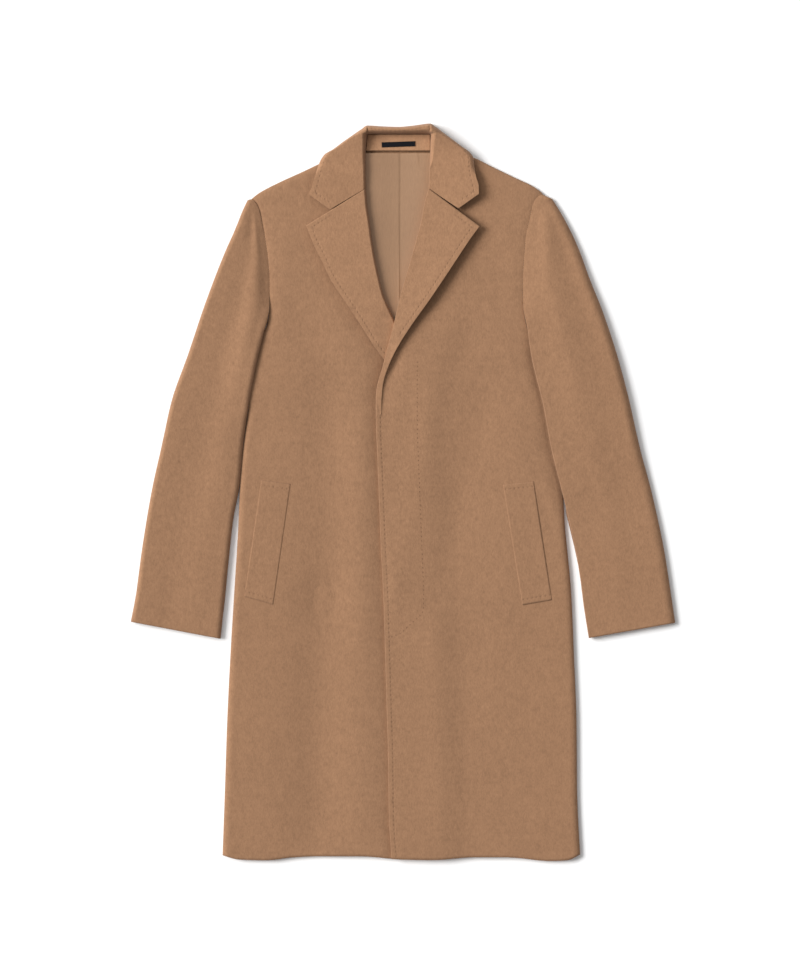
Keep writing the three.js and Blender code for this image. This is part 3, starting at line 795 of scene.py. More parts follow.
def wall_mesh(name, outer, inner, edge_map):
    """Closed shell: the outer grid, the inner grid turned over, and a border of squares all round.

    Its edge map gives each point the running length along the edge and the distance from it.
    """
    rows, columns = outer.shape[:2]
    size = rows * columns
    points = np.concatenate([outer.reshape(-1, 3), inner.reshape(-1, 3)]) * MM
    points[:, :2] -= SHIFT
    over = grid_quads(rows, columns, 0)
    under = grid_quads(rows, columns, size)[:, ::-1]
    index = np.arange(size).reshape(rows, columns)
    ring = np.concatenate([index[0, :-1], index[:-1, -1], index[-1, :0:-1], index[:0:-1, 0]])
    after = np.roll(ring, -1)
    border = np.stack([after, ring, ring + size, after + size], 1)
    quads = np.concatenate([over, under, border])
    a, b, c = (points[quads[:, k]] for k in (0, 1, 2))
    d = points[quads[:, 3]]
    volume = np.einsum("ij,ij->", a, np.cross(b, c)) + np.einsum("ij,ij->", a, np.cross(c, d))
    if volume < 0:
        quads = quads[:, ::-1]
    mesh = bpy.data.meshes.new(name)
    mesh.vertices.add(len(points))
    mesh.vertices.foreach_set("co", points.ravel())
    mesh.loops.add(quads.size)
    mesh.loops.foreach_set("vertex_index", quads.ravel().astype(np.int32))
    mesh.polygons.add(len(quads))
    mesh.polygons.foreach_set("loop_start", np.arange(0, quads.size, 4, dtype=np.int32))
    mesh.update(calc_edges=True)
    mesh.validate()
    mesh.polygons.foreach_set("use_smooth", np.ones(len(mesh.polygons), bool))
    values = np.concatenate([edge_map.reshape(-1, 2), edge_map.reshape(-1, 2)]) * MM
    layer = mesh.uv_layers.new(name="edge")
    corner = np.empty(len(mesh.loops), np.int32)
    mesh.loops.foreach_get("vertex_index", corner)
    layer.data.foreach_set("uv", values[corner].ravel())
    mesh.update()
    return placed(name, mesh)


def body_edge(side, up):
    """Side below the underarm and armhole above it."""
    return np.where(up < UNDERARM_UP, along(SIDES, "up", side, up), along(ARMHOLES, "up", side, up))


def shoulder_up(side, across):
    """Height on the page of the shoulder fold at a place across."""
    outer = abs(float(body_edge(side, SHOULDER_UP)))
    return along(SHOULDERS, "reach", side, np.minimum(SHOULDER_REACH, outer - np.abs(across)))


def seam_across(side, up):
    """Armhole seam on the bowed front: its level, lifted by the shoulder's bow, is found in steps."""
    rise = float(shoulder_up(side, body_edge(side, SHOULDER_UP))) - SHOULDER_UP
    level = up
    for _ in range(SEAM_TURNS):
        level = up - rise * soft(1 - (1 - np.minimum(1, level / SHOULDER_UP)) / SHOULDER_FADE)
    return body_edge(side, np.minimum(level, SHOULDER_UP))


def fold_rise(folds, across, up):
    """Sum of soft ridges: each is its rise times a bell curve of the distance to a straight line."""
    total = np.zeros_like(across)
    for x1, y1, x2, y2, width, rise in zip(*folds.values()):
        run_x, run_y = x2 - x1, y2 - y1
        part = np.clip(((across - x1) * run_x + (up - y1) * run_y) / (run_x**2 + run_y**2), 0, 1)
        away = np.hypot(across - x1 - part * run_x, up - y1 - part * run_y)
        total += rise * bell(away, width)
    return total


def ease(across, up, size):
    """Slight unevenness of soft cloth: the mean of three crossed sine waves of unlike length and lean."""
    first, bend, second, third, sway = EASE_LENGTHS
    steep, back = EASE_LEANS
    swing, early, late = EASE_SHIFTS
    waves = (
        np.sin(across / first + swing * np.sin(up / bend))
        + np.sin((across * steep + up) / second + early)
        + np.sin((up - across * back) / third + late + np.sin(across / sway))
    )
    return size * waves / 3.0


def seam_dip(reach, side):
    """Drop of the cloth at the armhole seam, fading with the distance, deeper on the wearer's right."""
    return -SEAM_DEPTH[side] * fading(reach, SEAM_REACH)


def edge_band(inside, up):
    """Puffed band along the front edge: a bell less a narrow groove at the band's inner side."""
    swell = bell(inside - BAND / 2, BAND_SWELL_WIDTH)
    depth = BAND_GROOVE + BAND_GROOVE_MORE * rising(up, *BAND_GROOVE_RISE)
    groove = depth * bell(inside - BAND, BAND_GROOVE_WIDTH)
    return BAND_RISE * (swell - groove) * falling(up, *BAND_TOP)


def front_folds(side, across, up, inside):
    """Folds and ease of a front, quiet near its open edges, with the grooves of armhole and sleeve."""
    reach = np.abs(seam_across(side, up) - across)
    open_edge = rising(inside, *EDGE_OPEN) if side == "left" else 1.0
    quiet = open_edge * falling(up, *SHOULDER_CALM) * rising(reach, *SEAM_CALM)
    folds = (fold_rise(FRONT_FOLDS, across, up) + ease(across, up, FRONT_EASE)) * quiet
    folds = folds + seam_dip(reach, side) * rising(up, *SEAM_FOOT)
    if side == "left":
        sleeve = along(SLEEVES[side], "innerUp", "innerAcross", up) - across
        dip = SLEEVE_DIP * fading(sleeve, SLEEVE_DIP_REACH)
        folds = folds - dip * falling(up, *SLEEVE_DIP_TOP) * rising(up, *SLEEVE_DIP_FOOT)
    return folds


def front_top(side, across, up):
    """Height of a front away from its rounded side.

    The right one rises from under the left one beside the edge, and falls a little towards it.
    The left one rises over the overlap. Both carry their folds, and the left one its edge band.
    """
    edge = along(FRONT_EDGE, "up", "edge", up)
    inside = edge - across if side == "right" else across - edge
    folds = front_folds(side, across, up, inside)
    if side == "right":
        calm = rising(inside, *EDGE_CALM) * falling(up, *SHOULDER_CALM)
        shown = FRONT_TOP - EDGE_FALL * fading(np.maximum(inside, 0), EDGE_FALL_REACH)
        rest = FRONT_TOP - EDGE_FALL - UNDER_FRONT_TOP
        covered = rest * fading(np.minimum(inside, 0), COVERED_REACH)
        beside = np.where(inside > 0, shown, UNDER_FRONT_TOP + covered)
        return mix(mix(UNDER_FRONT_TOP, FRONT_TOP, calm), beside, falling(up, *EDGE_TOP)) + folds
    lifted = mix(FRONT_TOP, OVER_FRONT_TOP, falling(inside, *OVERLAP_SIDE))
    return mix(FRONT_TOP, lifted, falling(up, *OVERLAP_TOP)) + folds + edge_band(inside, up)


def front_surface(side, rows, columns):
    """Strip from the front edge to the side and armhole, and from the hem to the shoulder fold."""
    edge_table = FRONT_EDGE if side == "left" else UNDER_EDGE

    def near(v):
        return np.stack([along(edge_table, "up", "edge", v * NECK_UP), v * NECK_UP], -1)

    def far(v):
        return np.stack([body_edge(side, v * SHOULDER_UP), v * SHOULDER_UP], -1)

    ends = [edge(np.array([0.0, 1.0])) for edge in (near, far)]

    def low_bow(u):
        across = mix(ends[0][0, 0], ends[1][0, 0], u)
        return np.stack([0 * u, along(HEM, "across", "up", across)], -1)

    def high_bow(u):
        spot = mix(ends[0][1], ends[1][1], u[..., None])
        return np.stack([0 * u, shoulder_up(side, spot[..., 0]) - spot[..., 1]], -1)

    def far_end(v):
        return {"round": SIDE_ROUND, "foot": REST, "hold": falling(v * SHOULDER_UP, *SIDE_TOP)}

    split = BREAK_UP / NECK_UP
    low = np.linspace(0.0, split - BREAK_BELOW, int(rows * LOW_ROWS))
    high = np.linspace(split + BREAK_ABOVE, HEAD_SHARE, int(rows * (1 - LOW_ROWS)))
    edge_foot = UNDER_FRONT_TOP + SEAM_GAP if side == "left" else REST
    outer, inner, away = cloth_wall(
        strip(near, far, low_bow, high_bow, HEM_FADE, SHOULDER_FADE),
        np.concatenate([low, high]),
        columns,
        CLOTH,
        lambda across, up, v, away: front_top(side, across, up),
        near=lambda v: {"round": EDGE_ROUND, "foot": edge_foot},
        far=far_end,
        head={"round": SIDE_ROUND, "foot": REST},
        head_length=NECK_UP,
    )
    inner[..., 2] = np.maximum(inner[..., 2], REST)
    return outer, inner, np.stack([outer[..., 1], away[0]], -1)


def sleeve_lines(side):
    """Inner line of a sleeve, kept clear of the armhole seam, and its outer fold."""
    inner_line, outer_line = line_of(SLEEVES[side], "inner"), line_of(SLEEVES[side], "outer")
    play = SEAM_PLAY if side == "left" else -SEAM_PLAY

    def inner(v):
        spot = inner_line(v)
        up = spot[..., 1]
        seam = seam_across(side, up) + play
        return np.stack([mix(spot[..., 0], seam, rising(up, *SLEEVE_JOIN)), up], -1)

    return inner, outer_line


def sleeve_surface(side, rows, columns):
    """Upper sleeve: a strip from its inner fold to its outer fold, rounded down at both."""
    inner_line, outer_line = sleeve_lines(side)
    value = stationed(SLEEVES[side])

    def near(v):
        return {"round": INNER_ROUND[side], "foot": value("foot", v), "hold": value("turn", v)}

    def top(across, up, v, away):
        part = away[0] / (away[0] + away[1])
        folds = fold_rise(SLEEVE_FOLDS[side], part, v) + ease(across, up, SLEEVE_EASE)
        from_edge = np.minimum(away[0], away[1])
        quiet = soft(from_edge / SLEEVE_EDGE_CALM) * falling(v, *SLEEVE_HEAD_CALM)
        dip = seam_dip(away[0], side) * rising(up, *SLEEVE_SEAM_FOOT)
        return mix(value("brow", v), value("crest", v), soft(away[0] / BROW_WIDTH)) + folds * quiet + dip

    outer, inner, away = cloth_wall(
        strip(inner_line, outer_line),
        np.linspace(0, HEAD_SHARE, rows),
        columns,
        CLOTH,
        top,
        near=near,
        far=lambda v: {"round": OUTER_ROUND[side], "foot": REST},
        head={"round": SLEEVE_HEAD_ROUND, "foot": REST},
        head_length=SLEEVE_LENGTH,
    )
    return outer, inner, np.stack([outer[..., 1], away[0]], -1)


def length_along(line):
    """Running length of a line of points."""
    steps = np.linalg.norm(np.diff(line, axis=0), axis=-1)
    return np.concatenate([[0.0], np.cumsum(steps)])


def lapel_surface(side, rows, columns):
    """Lapel: a strip from its roll line to its free edge, rounded at the roll and lifted at the edge."""
    value = stationed(LAPELS[side])

    def top(across, up, v, away):
        part = away[0] / (away[0] + away[1])
        lift = value("lift", v) * soft(part) ** 2
        return value("crest", v) + lift + ease(across, up, LAPEL_EASE) * soft(away[1] / LAPEL_EDGE_CALM)

    outer, inner, away = cloth_wall(
        strip(line_of(LAPELS[side], "roll"), line_of(LAPELS[side], "edge")),
        np.linspace(0, 1, rows),
        columns,
        LAPEL_CLOTH,
        top,
        near=lambda v: {"round": ROLL_ROUND[side], "foot": value("foot", v)},
    )
    run = length_along(outer[:, -1])[:, None] + 0 * away[1]
    from_end = np.where(away[1] < LAPEL_NOTCH, run[-1:] - run, FAR_OFF)
    edge_map = stitch_path(run, away[1], from_end)
    wide = away[0] + away[1] > LAPEL_STITCHED_FROM
    edge_map[..., 1] = np.where(wide, edge_map[..., 1], FAR_OFF)
    return outer, inner, edge_map


def stitch_path(run, across, from_end):
    """Edge map that turns the corner: the nearer of the long edge and the end, in one running length."""
    turned = from_end < across
    length = np.where(turned, run.max() + across, run)
    return np.stack([length, np.where(turned, from_end, across)], -1)


def collar_surface(rows, columns):
    """Collar: one strip round the neck, with a kink at each front end where the notch is."""
    value = stationed(COLLAR)

    def roll(v):
        ends = mix(ROLL_ROUND["right"], ROLL_ROUND["left"], rising(v, *COLLAR_MIDDLE))
        return {"round": mix(ends, value("round", v), value("turn", v)), "foot": value("foot", v)}

    def kink(side):
        def bow(u):
            peak = np.where(u < NOTCH_PART, u / NOTCH_PART, (1 - u) / (1 - NOTCH_PART))
            return peak[..., None] * np.array(NOTCH_DROP[side])

        return bow

    def top(across, up, v, away):
        part = away[0] / (away[0] + away[1])
        beside = np.abs(across - STAND_MIDDLE)
        stand = STAND_DROP * (1 - rising(beside, *STAND_EDGE))
        groove = STAND_GROOVE * bell(beside - STAND_GROOVE_AT, STAND_GROOVE_WIDTH)
        leaf = mix(value("inside", v), value("outside", v), soft(part))
        return leaf - (stand + groove) * rising(up, *STAND_FOOT)

    outer, inner, away = cloth_wall(
        strip(
            line_of(COLLAR, "inner"),
            line_of(COLLAR, "outer"),
            kink("right"),
            kink("left"),
            KINK_FADE,
            KINK_FADE,
        ),
        np.linspace(0, 1, rows),
        columns,
        COLLAR_CLOTH,
        top,
        near=roll,
        far=lambda v: {"round": COLLAR_ROUND, "foot": value("end", v), "hold": value("turn", v)},
    )
    run = length_along(outer[:, -1])[:, None] + 0 * away[1]
    from_end = np.minimum(run, run[-1:] - run)
    sewn = away[1] < (1 - NOTCH_PART) * (away[0] + away[1])
    return outer, inner, stitch_path(run, away[1], np.where(sewn, from_end, FAR_OFF))


def lining_surface(rows, columns):
    """Back lining in the neck opening: a valley, a step down past the pleat, a leaning crease and ease."""

    def up_at(v):
        return mix(LINING["up"][0], LINING["up"][-1], v)

    def edge(side, shift):
        return lambda v: np.stack([along(LINING, "up", side, up_at(v)) + shift, up_at(v)], -1)

    def step_down(across, line, width):
        return falling(across, line + width / 2, width)

    def top(across, up, v, away):
        beside = np.abs(across - PLEAT_ACROSS)
        pleat = PLEAT_STEP * step_down(across, PLEAT_ACROSS, PLEAT_WIDTH)
        valley = (VALLEY * soft(beside / VALLEY_REACH) + pleat) * rising(up, *VALLEY_FOOT)
        line = CREASE_ACROSS + (LINING["up"][-1] - up) * CREASE_LEAN
        crease = CREASE_STEP * step_down(across, line, CREASE_WIDTH) * rising(up, *CREASE_FOOT)
        closer, tighter = LINING_EASE_TIGHT
        uneven = ease(closer * across, tighter * up, LINING_EASE) * soft(beside / LINING_EASE_CALM)
        return LINING_TOP + valley + crease + uneven

    outer, inner, away = cloth_wall(
        strip(edge("right", -LINING_UNDER), edge("left", LINING_UNDER)),
        np.linspace(0, 1, rows),
        columns,
        LINING_CLOTH,
        top,
    )
    return outer, inner, outer[..., 1::-1]


def facing_surface(rows, columns):
    """Neck facing: a straight flat band on the back."""

    def edge(side):
        return lambda v: np.stack([mix(*FACING[side], v), mix(*FACING["up"], v)], -1)

    def top(across, up, v, away):
        return REST + NECK_LIFT + FACING_CLOTH + 0 * across

    outer, inner, away = cloth_wall(
        strip(edge("right"), edge("left")), np.linspace(0, 1, rows), columns, FACING_CLOTH, top
    )
    return outer, inner, outer[..., :2]


def label_surface(rows, columns):
    """Label: a plain flat band, turned a little on the facing."""
    turn = np.radians(LABEL_TURN)
    lean = np.array([np.cos(turn), np.sin(turn)])
    rise = np.array([-np.sin(turn), np.cos(turn)])

    def edge(half):
        return lambda v: LABEL_MIDDLE + half * lean + ((v - 0.5) * LABEL_WIDTH)[..., None] * rise

    def top(across, up, v, away):
        return REST + NECK_LIFT + FACING_CLOTH + SEAM_GAP + LABEL_CLOTH + 0 * across

    outer, inner, away = cloth_wall(
        strip(edge(-LABEL_LENGTH / 2), edge(LABEL_LENGTH / 2)),
        np.linspace(0, 1, rows),
        columns,
        LABEL_CLOTH,
        top,
    )
    return outer, inner, outer[..., :2]


def welt_surface(side, rows, columns):
    """Pocket welt: a band that follows the front between four corners, its outer edge a little raised."""
    top_out, top_in, low_out, low_in = np.stack([WELTS[side]["across"], WELTS[side]["up"]], -1)

    def edge(low, high):
        return lambda v: mix(low, high, v[..., None])

    def top(across, up, v, away):
        raised = WELT_RAISE * soft(1 - away[1] / WELT_RAISE_REACH) * np.sin(np.pi * v)
        return front_top(side, across, up) + SEAM_GAP + WELT_SKIN[side] + raised

    def turned(low, high):
        def at(v):
            spot = edge(low, high)(v)
            return {"round": WELT_ROUND, "foot": front_top(side, spot[..., 0], spot[..., 1]) + SEAM_GAP}

        return at

    outer, inner, away = cloth_wall(
        strip(edge(low_in, top_in), edge(low_out, top_out)),
        np.linspace(0, 1, rows),
        columns,
        WELT_SKIN[side],
        top,
        near=turned(low_in, top_in),
        far=turned(low_out, top_out),
    )
    v = np.linspace(0, 1, rows)[:, None] + 0 * away[0]
    from_end = np.minimum(v, 1 - v) * np.linalg.norm(top_out - low_out)
    return outer, inner, np.stack([away[0], from_end], -1)


def thread_ball():
    """Points of one thread: a ball in rings round its length, stretched to the thread's size."""
    tilt = np.linspace(0, np.pi, THREAD_RINGS + 2)[1:-1, None]
    turn = np.linspace(0, 2 * np.pi, THREAD_SIDES, endpoint=False)[None]
    axis = np.cos(tilt) + 0 * turn
    rings = np.stack([axis, np.sin(tilt) * np.cos(turn), np.sin(tilt) * np.sin(turn)], -1)
    ball = np.concatenate([[[1.0, 0, 0]], rings.reshape(-1, 3), [[-1.0, 0, 0]]])
    return ball * [THREAD_LENGTH / 2, THREAD_WIDTH / 2, THREAD_WIDTH / 2]


def ball_faces():
    """Faces of one thread: squares between its rings and a fan at each end."""
    ids = 1 + np.arange(THREAD_RINGS * THREAD_SIDES).reshape(THREAD_RINGS, THREAD_SIDES)
    after = np.roll(ids, -1, axis=1)
    last = THREAD_RINGS * THREAD_SIDES + 1
    quads = np.stack([ids[:-1], ids[1:], after[1:], after[:-1]], -1).reshape(-1, 4)
    near_fan = np.stack([0 * ids[0], ids[0], after[0]], -1)
    far_fan = np.stack([last + 0 * ids[0], after[-1], ids[-1]], -1)
    return quads, near_fan, far_fan


def thread_row(name, side, line, spacing):
    """Row of short threads on a front: one ball at each spacing of a line, stretched along it."""
    run = length_along(line)
    marks = np.arange(spacing / 2, run[-1], spacing)

    def on_line(place):
        return np.stack([np.interp(place, run, line[:, k]) for k in (0, 1)], -1)

    spots = on_line(marks)
    ahead = on_line(marks + THREAD_AHEAD) - spots
    ahead /= np.linalg.norm(ahead, axis=-1, keepdims=True)
    beside = np.stack([-ahead[:, 1], ahead[:, 0]], -1)
    ball = thread_ball()
    spread = spots[:, None] + ball[:, :1] * ahead[:, None] + ball[:, 1:2] * beside[:, None]
    middle = front_top(side, spread[..., 0], spread[..., 1]) + THREAD_WIDTH / 2 - THREAD_SINK
    height = middle + ball[:, 2]
    points = np.concatenate([spread * MM - SHIFT, height[..., None] * MM], -1).reshape(-1, 3)
    faces = []
    for start in np.arange(len(spots)) * len(ball):
        for part in ball_faces():
            faces += (part + start).tolist()
    mesh = bpy.data.meshes.new(name)
    mesh.from_pydata(points.tolist(), [], faces)
    mesh.shade_smooth()
    return placed(name, mesh)


# Materials


def group(name, inputs, outputs):
    """Empty shader node group with named sockets."""
    made = bpy.data.node_groups.new(name, "ShaderNodeTree")
    for label, kind in inputs:
        made.interface.new_socket(name=label, in_out="INPUT", socket_type=kind)
    for label, kind in outputs:
        made.interface.new_socket(name=label, in_out="OUTPUT", socket_type=kind)
    start = made.nodes.new("NodeGroupInput")
    end = made.nodes.new("NodeGroupOutput")
    return made, start, end


def maths(tree, kind, a, b=None, c=None):
    """Math node with links or plain numbers on its inputs."""
    node = tree.nodes.new("ShaderNodeMath")
    node.operation = kind
    for socket, value in zip(node.inputs, (a, b, c)):
        if value is None:
            continue
        if isinstance(value, (int, float)):
            socket.default_value = value
        else:
            tree.links.new(value, socket)
    return node.outputs[0]


def noise(tree, coordinate, scale, detail, rough, stretch=None):
    """Noise value at a scale, on coordinates that may be stretched first."""
    if stretch:
        mapping = tree.nodes.new("ShaderNodeMapping")
        mapping.inputs["Scale"].default_value = stretch
        tree.links.new(coordinate, mapping.inputs["Vector"])
        coordinate = mapping.outputs["Vector"]
    node = tree.nodes.new("ShaderNodeTexNoise")
    node.inputs["Scale"].default_value = scale
    node.inputs["Detail"].default_value = detail
    node.inputs["Roughness"].default_value = rough
    tree.links.new(coordinate, node.inputs["Vector"])
    return node.outputs["Fac"]


def blank(name, finish):
    """New material with its finish on the shader, as the material, its tree and its shader."""
    mat = bpy.data.materials.new(name)
    mat.use_nodes = True
    tree = mat.node_tree
    shader = tree.nodes["Principled BSDF"]
    for label, value in finish.items():
        shader.inputs[label].default_value = value
    return mat, tree, shader


def own_place(tree):
    """Place on the piece in its own coordinates."""
    return tree.nodes.new("ShaderNodeTexCoord").outputs["Object"]


def tinted(colour, tone):
    """Colour made darker or lighter by a tone."""
    return [tone * c for c in colour]


def ramp(tree, value, spots, colours):
    """Colour that goes from the first to the second between two spots of a value."""
    node = tree.nodes.new("ShaderNodeValToRGB")
    for element, place, colour in zip(node.color_ramp.elements, spots, colours):
        element.position = place
        element.color = (*colour, 1)
    tree.links.new(value, node.inputs["Fac"])
    return node.outputs["Color"]


def bump(tree, height, strength, depth, normal=None, inward=False):
    """Normal roughened by a height, over another normal where one is given."""
    node = tree.nodes.new("ShaderNodeBump")
    node.invert = inward
    node.inputs["Strength"].default_value = strength
    node.inputs["Distance"].default_value = depth
    tree.links.new(height, node.inputs["Height"])
    if normal:
        tree.links.new(normal, node.inputs["Normal"])
    return node.outputs["Normal"]


def nap_group():
    """Brushed wool: the sum of its layers of noise, as a shade and as a height."""
    tree, start, end = group(
        "Wool nap",
        [("Vector", "NodeSocketVector"), ("Depth", "NodeSocketFloat")],
        [("Shade", "NodeSocketFloat"), ("Height", "NodeSocketFloat")],
    )
    shade, relief = 0.0, 0.0
    for scale, detail, rough, stretch, shade_share, relief_share in NAP_LAYERS:
        layer = noise(tree, start.outputs["Vector"], scale, detail, rough, stretch)
        shade = maths(tree, "MULTIPLY_ADD", layer, shade_share, shade)
        if relief_share:
            relief = maths(tree, "MULTIPLY_ADD", layer, relief_share, relief)
    tree.links.new(shade, end.inputs["Shade"])
    tree.links.new(maths(tree, "MULTIPLY", relief, start.outputs["Depth"]), end.inputs["Height"])
    return tree


def stitch_group():
    """Pick stitches: a shallow groove at a set distance from the edge with a dent at each stitch."""
    tree, start, end = group(
        "Pick stitch",
        [
            ("Run", "NodeSocketFloat"),
            ("Distance", "NodeSocketFloat"),
            ("Inset", "NodeSocketFloat"),
            ("Spacing", "NodeSocketFloat"),
        ],
        [("Dent", "NodeSocketFloat")],
    )

    def hump(value, half):
        share = maths(tree, "DIVIDE", maths(tree, "ABSOLUTE", value), half)
        return maths(tree, "SMOOTH_MAX", maths(tree, "SUBTRACT", 1.0, share), 0.0, DENT_SOFT)

    beside = maths(tree, "SUBTRACT", start.outputs["Distance"], start.outputs["Inset"])
    phase = maths(tree, "FRACT", maths(tree, "DIVIDE", start.outputs["Run"], start.outputs["Spacing"]))
    dot = hump(maths(tree, "SUBTRACT", phase, 0.5), DENT_REACH)
    depth = maths(tree, "MULTIPLY_ADD", dot, DENT_DEPTH, STITCH_GROOVE)
    dent = maths(tree, "MULTIPLY", hump(beside, STITCH_REACH), depth)
    tree.links.new(dent, end.inputs["Dent"])
    return tree


def sewn(tree, stitch, stitches, dark, paint, normal):
    """Paint and normal with pick stitches on them, placed by the piece's edge map."""
    uv = tree.nodes.new("ShaderNodeUVMap")
    uv.uv_map = "edge"
    split = tree.nodes.new("ShaderNodeSeparateXYZ")
    tree.links.new(uv.outputs["UV"], split.inputs[0])
    line = tree.nodes.new("ShaderNodeGroup")
    line.node_tree = stitch
    for label, size in zip(("Inset", "Spacing"), stitches):
        line.inputs[label].default_value = size
    tree.links.new(split.outputs["X"], line.inputs["Run"])
    tree.links.new(split.outputs["Y"], line.inputs["Distance"])
    dent = line.outputs["Dent"]
    shadow = tree.nodes.new("ShaderNodeMix")
    shadow.data_type = "RGBA"
    shadow.inputs["B"].default_value = (*tinted(dark, STITCH_SHADE), 1)
    tree.links.new(maths(tree, "MULTIPLY", dent, STITCH_SHADOW), shadow.inputs["Factor"])
    tree.links.new(paint, shadow.inputs["A"])
    return shadow.outputs["Result"], bump(tree, dent, *STITCH_BUMP, normal, inward=True)


def wool_material(name, colours, nap, stitch, stitches, painted_light_and_tone):
    """Matte brushed wool between a light and a dark tone.

    stitches gives the inset of its pick-stitch line and their spacing, or is None. The last argument
    scales both tones: painted lighter on the lapels and the collar as painted sheen of their turned nap,
    painted lighter on the neck facing against the shade the collar casts on it, and darker for the
    sewing thread's own tone.
    """
    light, dark = (tinted(colour, painted_light_and_tone) for colour in colours)
    mat, tree, shader = blank(name, WOOL_FINISH)
    where = own_place(tree)
    cloth = tree.nodes.new("ShaderNodeGroup")
    cloth.node_tree = nap
    cloth.inputs["Depth"].default_value = 1.0
    tree.links.new(where, cloth.inputs["Vector"])
    paint = ramp(tree, cloth.outputs["Shade"], WOOL_RAMP, (dark, light))
    normal = bump(tree, cloth.outputs["Height"], *WOOL_BUMP)
    if stitches:
        paint, normal = sewn(tree, stitch, stitches, dark, paint, normal)
    tree.links.new(paint, shader.inputs["Base Color"])
    tree.links.new(normal, shader.inputs["Normal"])
    return mat


def satin_material(name, colour):
    """Satin lining: fine warp lines on broad clouds, smoother than the wool."""
    mat, tree, shader = blank(name, SATIN_FINISH)
    where = own_place(tree)
    warp = noise(tree, where, *SATIN_WARP)
    cloud = noise(tree, where, *SATIN_CLOUD)
    warp_share, cloud_share = SATIN_SHARES
    shade = maths(tree, "MULTIPLY_ADD", warp, warp_share, maths(tree, "MULTIPLY", cloud, cloud_share))
    paint = ramp(tree, shade, SATIN_RAMP, [tinted(colour, tone) for tone in SATIN_TONES])
    tree.links.new(paint, shader.inputs["Base Color"])
    tree.links.new(bump(tree, warp, *SATIN_BUMP), shader.inputs["Normal"])
    return mat


def label_material(name, colour):
    """Plain woven tape: a close weave, drawn out along the tape's width."""
    mat, tree, shader = blank(name, TAPE_FINISH)
    where = own_place(tree)
    weave = noise(tree, where, *TAPE_WEAVE)
    paint = ramp(tree, weave, TAPE_RAMP, [tinted(colour, tone) for tone in TAPE_TONES])
    tree.links.new(paint, shader.inputs["Base Color"])
    tree.links.new(bump(tree, weave, *TAPE_BUMP), shader.inputs["Normal"])
    return mat


# Settings


class OvercoatSettings(bpy.types.PropertyGroup):
    """Colours and stitch sizes of the coat."""

    wool: bpy.props.FloatVectorProperty(
        name="Wool",
        description="Light tone of the wool",
        default=(0.425, 0.230, 0.124),
        subtype="COLOR",
    )
    wool_dark: bpy.props.FloatVectorProperty(
        name="Wool shade",
        description="Dark tone of the wool",
        default=(0.185, 0.097, 0.051),
        subtype="COLOR",
    )
    lining: bpy.props.FloatVectorProperty(
        name="Lining",
        description="Colour of the satin lining",
        default=(0.325, 0.189, 0.107),
        subtype="COLOR",
    )
    label: bpy.props.FloatVectorProperty(
        name="Label",
        description="Colour of the bare label",
        default=(0.005, 0.005, 0.007),
        subtype="COLOR",
    )
    stitch_inset: bpy.props.FloatProperty(
        name="Stitch inset",
        description="Distance of the pick stitches from the edge",
        default=7.6 * MM,
        unit="LENGTH",
    )
    stitch_spacing: bpy.props.FloatProperty(
        name="Stitch spacing",
        description="Distance from stitch to stitch",
        default=6.7 * MM,
        unit="LENGTH",
    )
    # Painted sheen: the lapels and collar are painted a lighter copy of the wool for the light their
    # turned nap catches
    turned_painted_sheen: bpy.props.FloatProperty(
        name="Turned nap",
        description="How much lighter the turned cloth of lapels and collar looks",
        default=1.1,
        min=0.5,
        max=1.5,
        subtype="FACTOR",
    )
    fineness: bpy.props.FloatProperty(
        name="Fineness",
        description="Share of the full number of rows and columns",
        default=1.0,
        min=0.1,
        max=1.5,
        subtype="FACTOR",
    )


def settings():
    """The coat's settings on the scene."""
    return bpy.context.scene.overcoat


def grid(kind):
    """Rows and columns of a surface at the chosen fineness."""
    return [max(FEWEST, int(count * settings().fineness)) for count in GRIDS[kind]]


def material(kind):
    """The named material, made the first time it is asked for."""
    if kind in bpy.data.materials:
        return bpy.data.materials[kind]
    chosen = settings()
    if kind == "lining satin":
        return satin_material(kind, chosen.lining)
    if kind == "label tape":
        return label_material(kind, chosen.label)
    nap = bpy.data.node_groups.get("Wool nap") or nap_group()
    stitch = bpy.data.node_groups.get("Pick stitch") or stitch_group()
    plain = kind in ("wool plain", "wool facing painted light", "sewing thread")
    stitches = None if plain else (chosen.stitch_inset, chosen.stitch_spacing)
    # Lighter copies of the wool are painted light: sheen of the turned nap, and the facing lit up against
    # the collar's shade; the thread is darker in its own tone
    lights = {
        "wool turned painted sheen": chosen.turned_painted_sheen,
        "wool facing painted light": FACING_PAINTED_LIGHT,
        "sewing thread": THREAD_SHADE,
    }
    colours = (chosen.wool, chosen.wool_dark)
    return wool_material(kind, colours, nap, stitch, stitches, lights.get(kind, 1.0))


def dress(node, surface, kind):
    """Make the piece for a node from its surface, give it its material, attach it to the root and hide the
    node's solid.
    """
    name = "label_tape" if node == "label" else f"{node}_cloth"
    piece = wall_mesh(name, *surface)
    piece.data.materials.append(material(kind))
    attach(piece, "root")
    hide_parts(node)


class OVERCOAT_OT_fronts(bpy.types.Operator):
    """Make the two fronts, the left one over the right"""

    bl_idname = "overcoat.fronts"
    bl_label = "Fronts"

    def execute(self, context):
        for side in ("right", "left"):
            surface = front_surface(side, *grid("front"))
            dress(f"front_{side}", surface, "wool stitched")
        return {"FINISHED"}


class OVERCOAT_OT_sleeves(bpy.types.Operator):
    """Make the upper sleeves"""

    bl_idname = "overcoat.sleeves"
    bl_label = "Upper sleeves"

    def execute(self, context):
        for side in ("right", "left"):
            surface = sleeve_surface(side, *grid("sleeve"))
            dress(f"top_sleeve_{side}", surface, "wool plain")
        return {"FINISHED"}


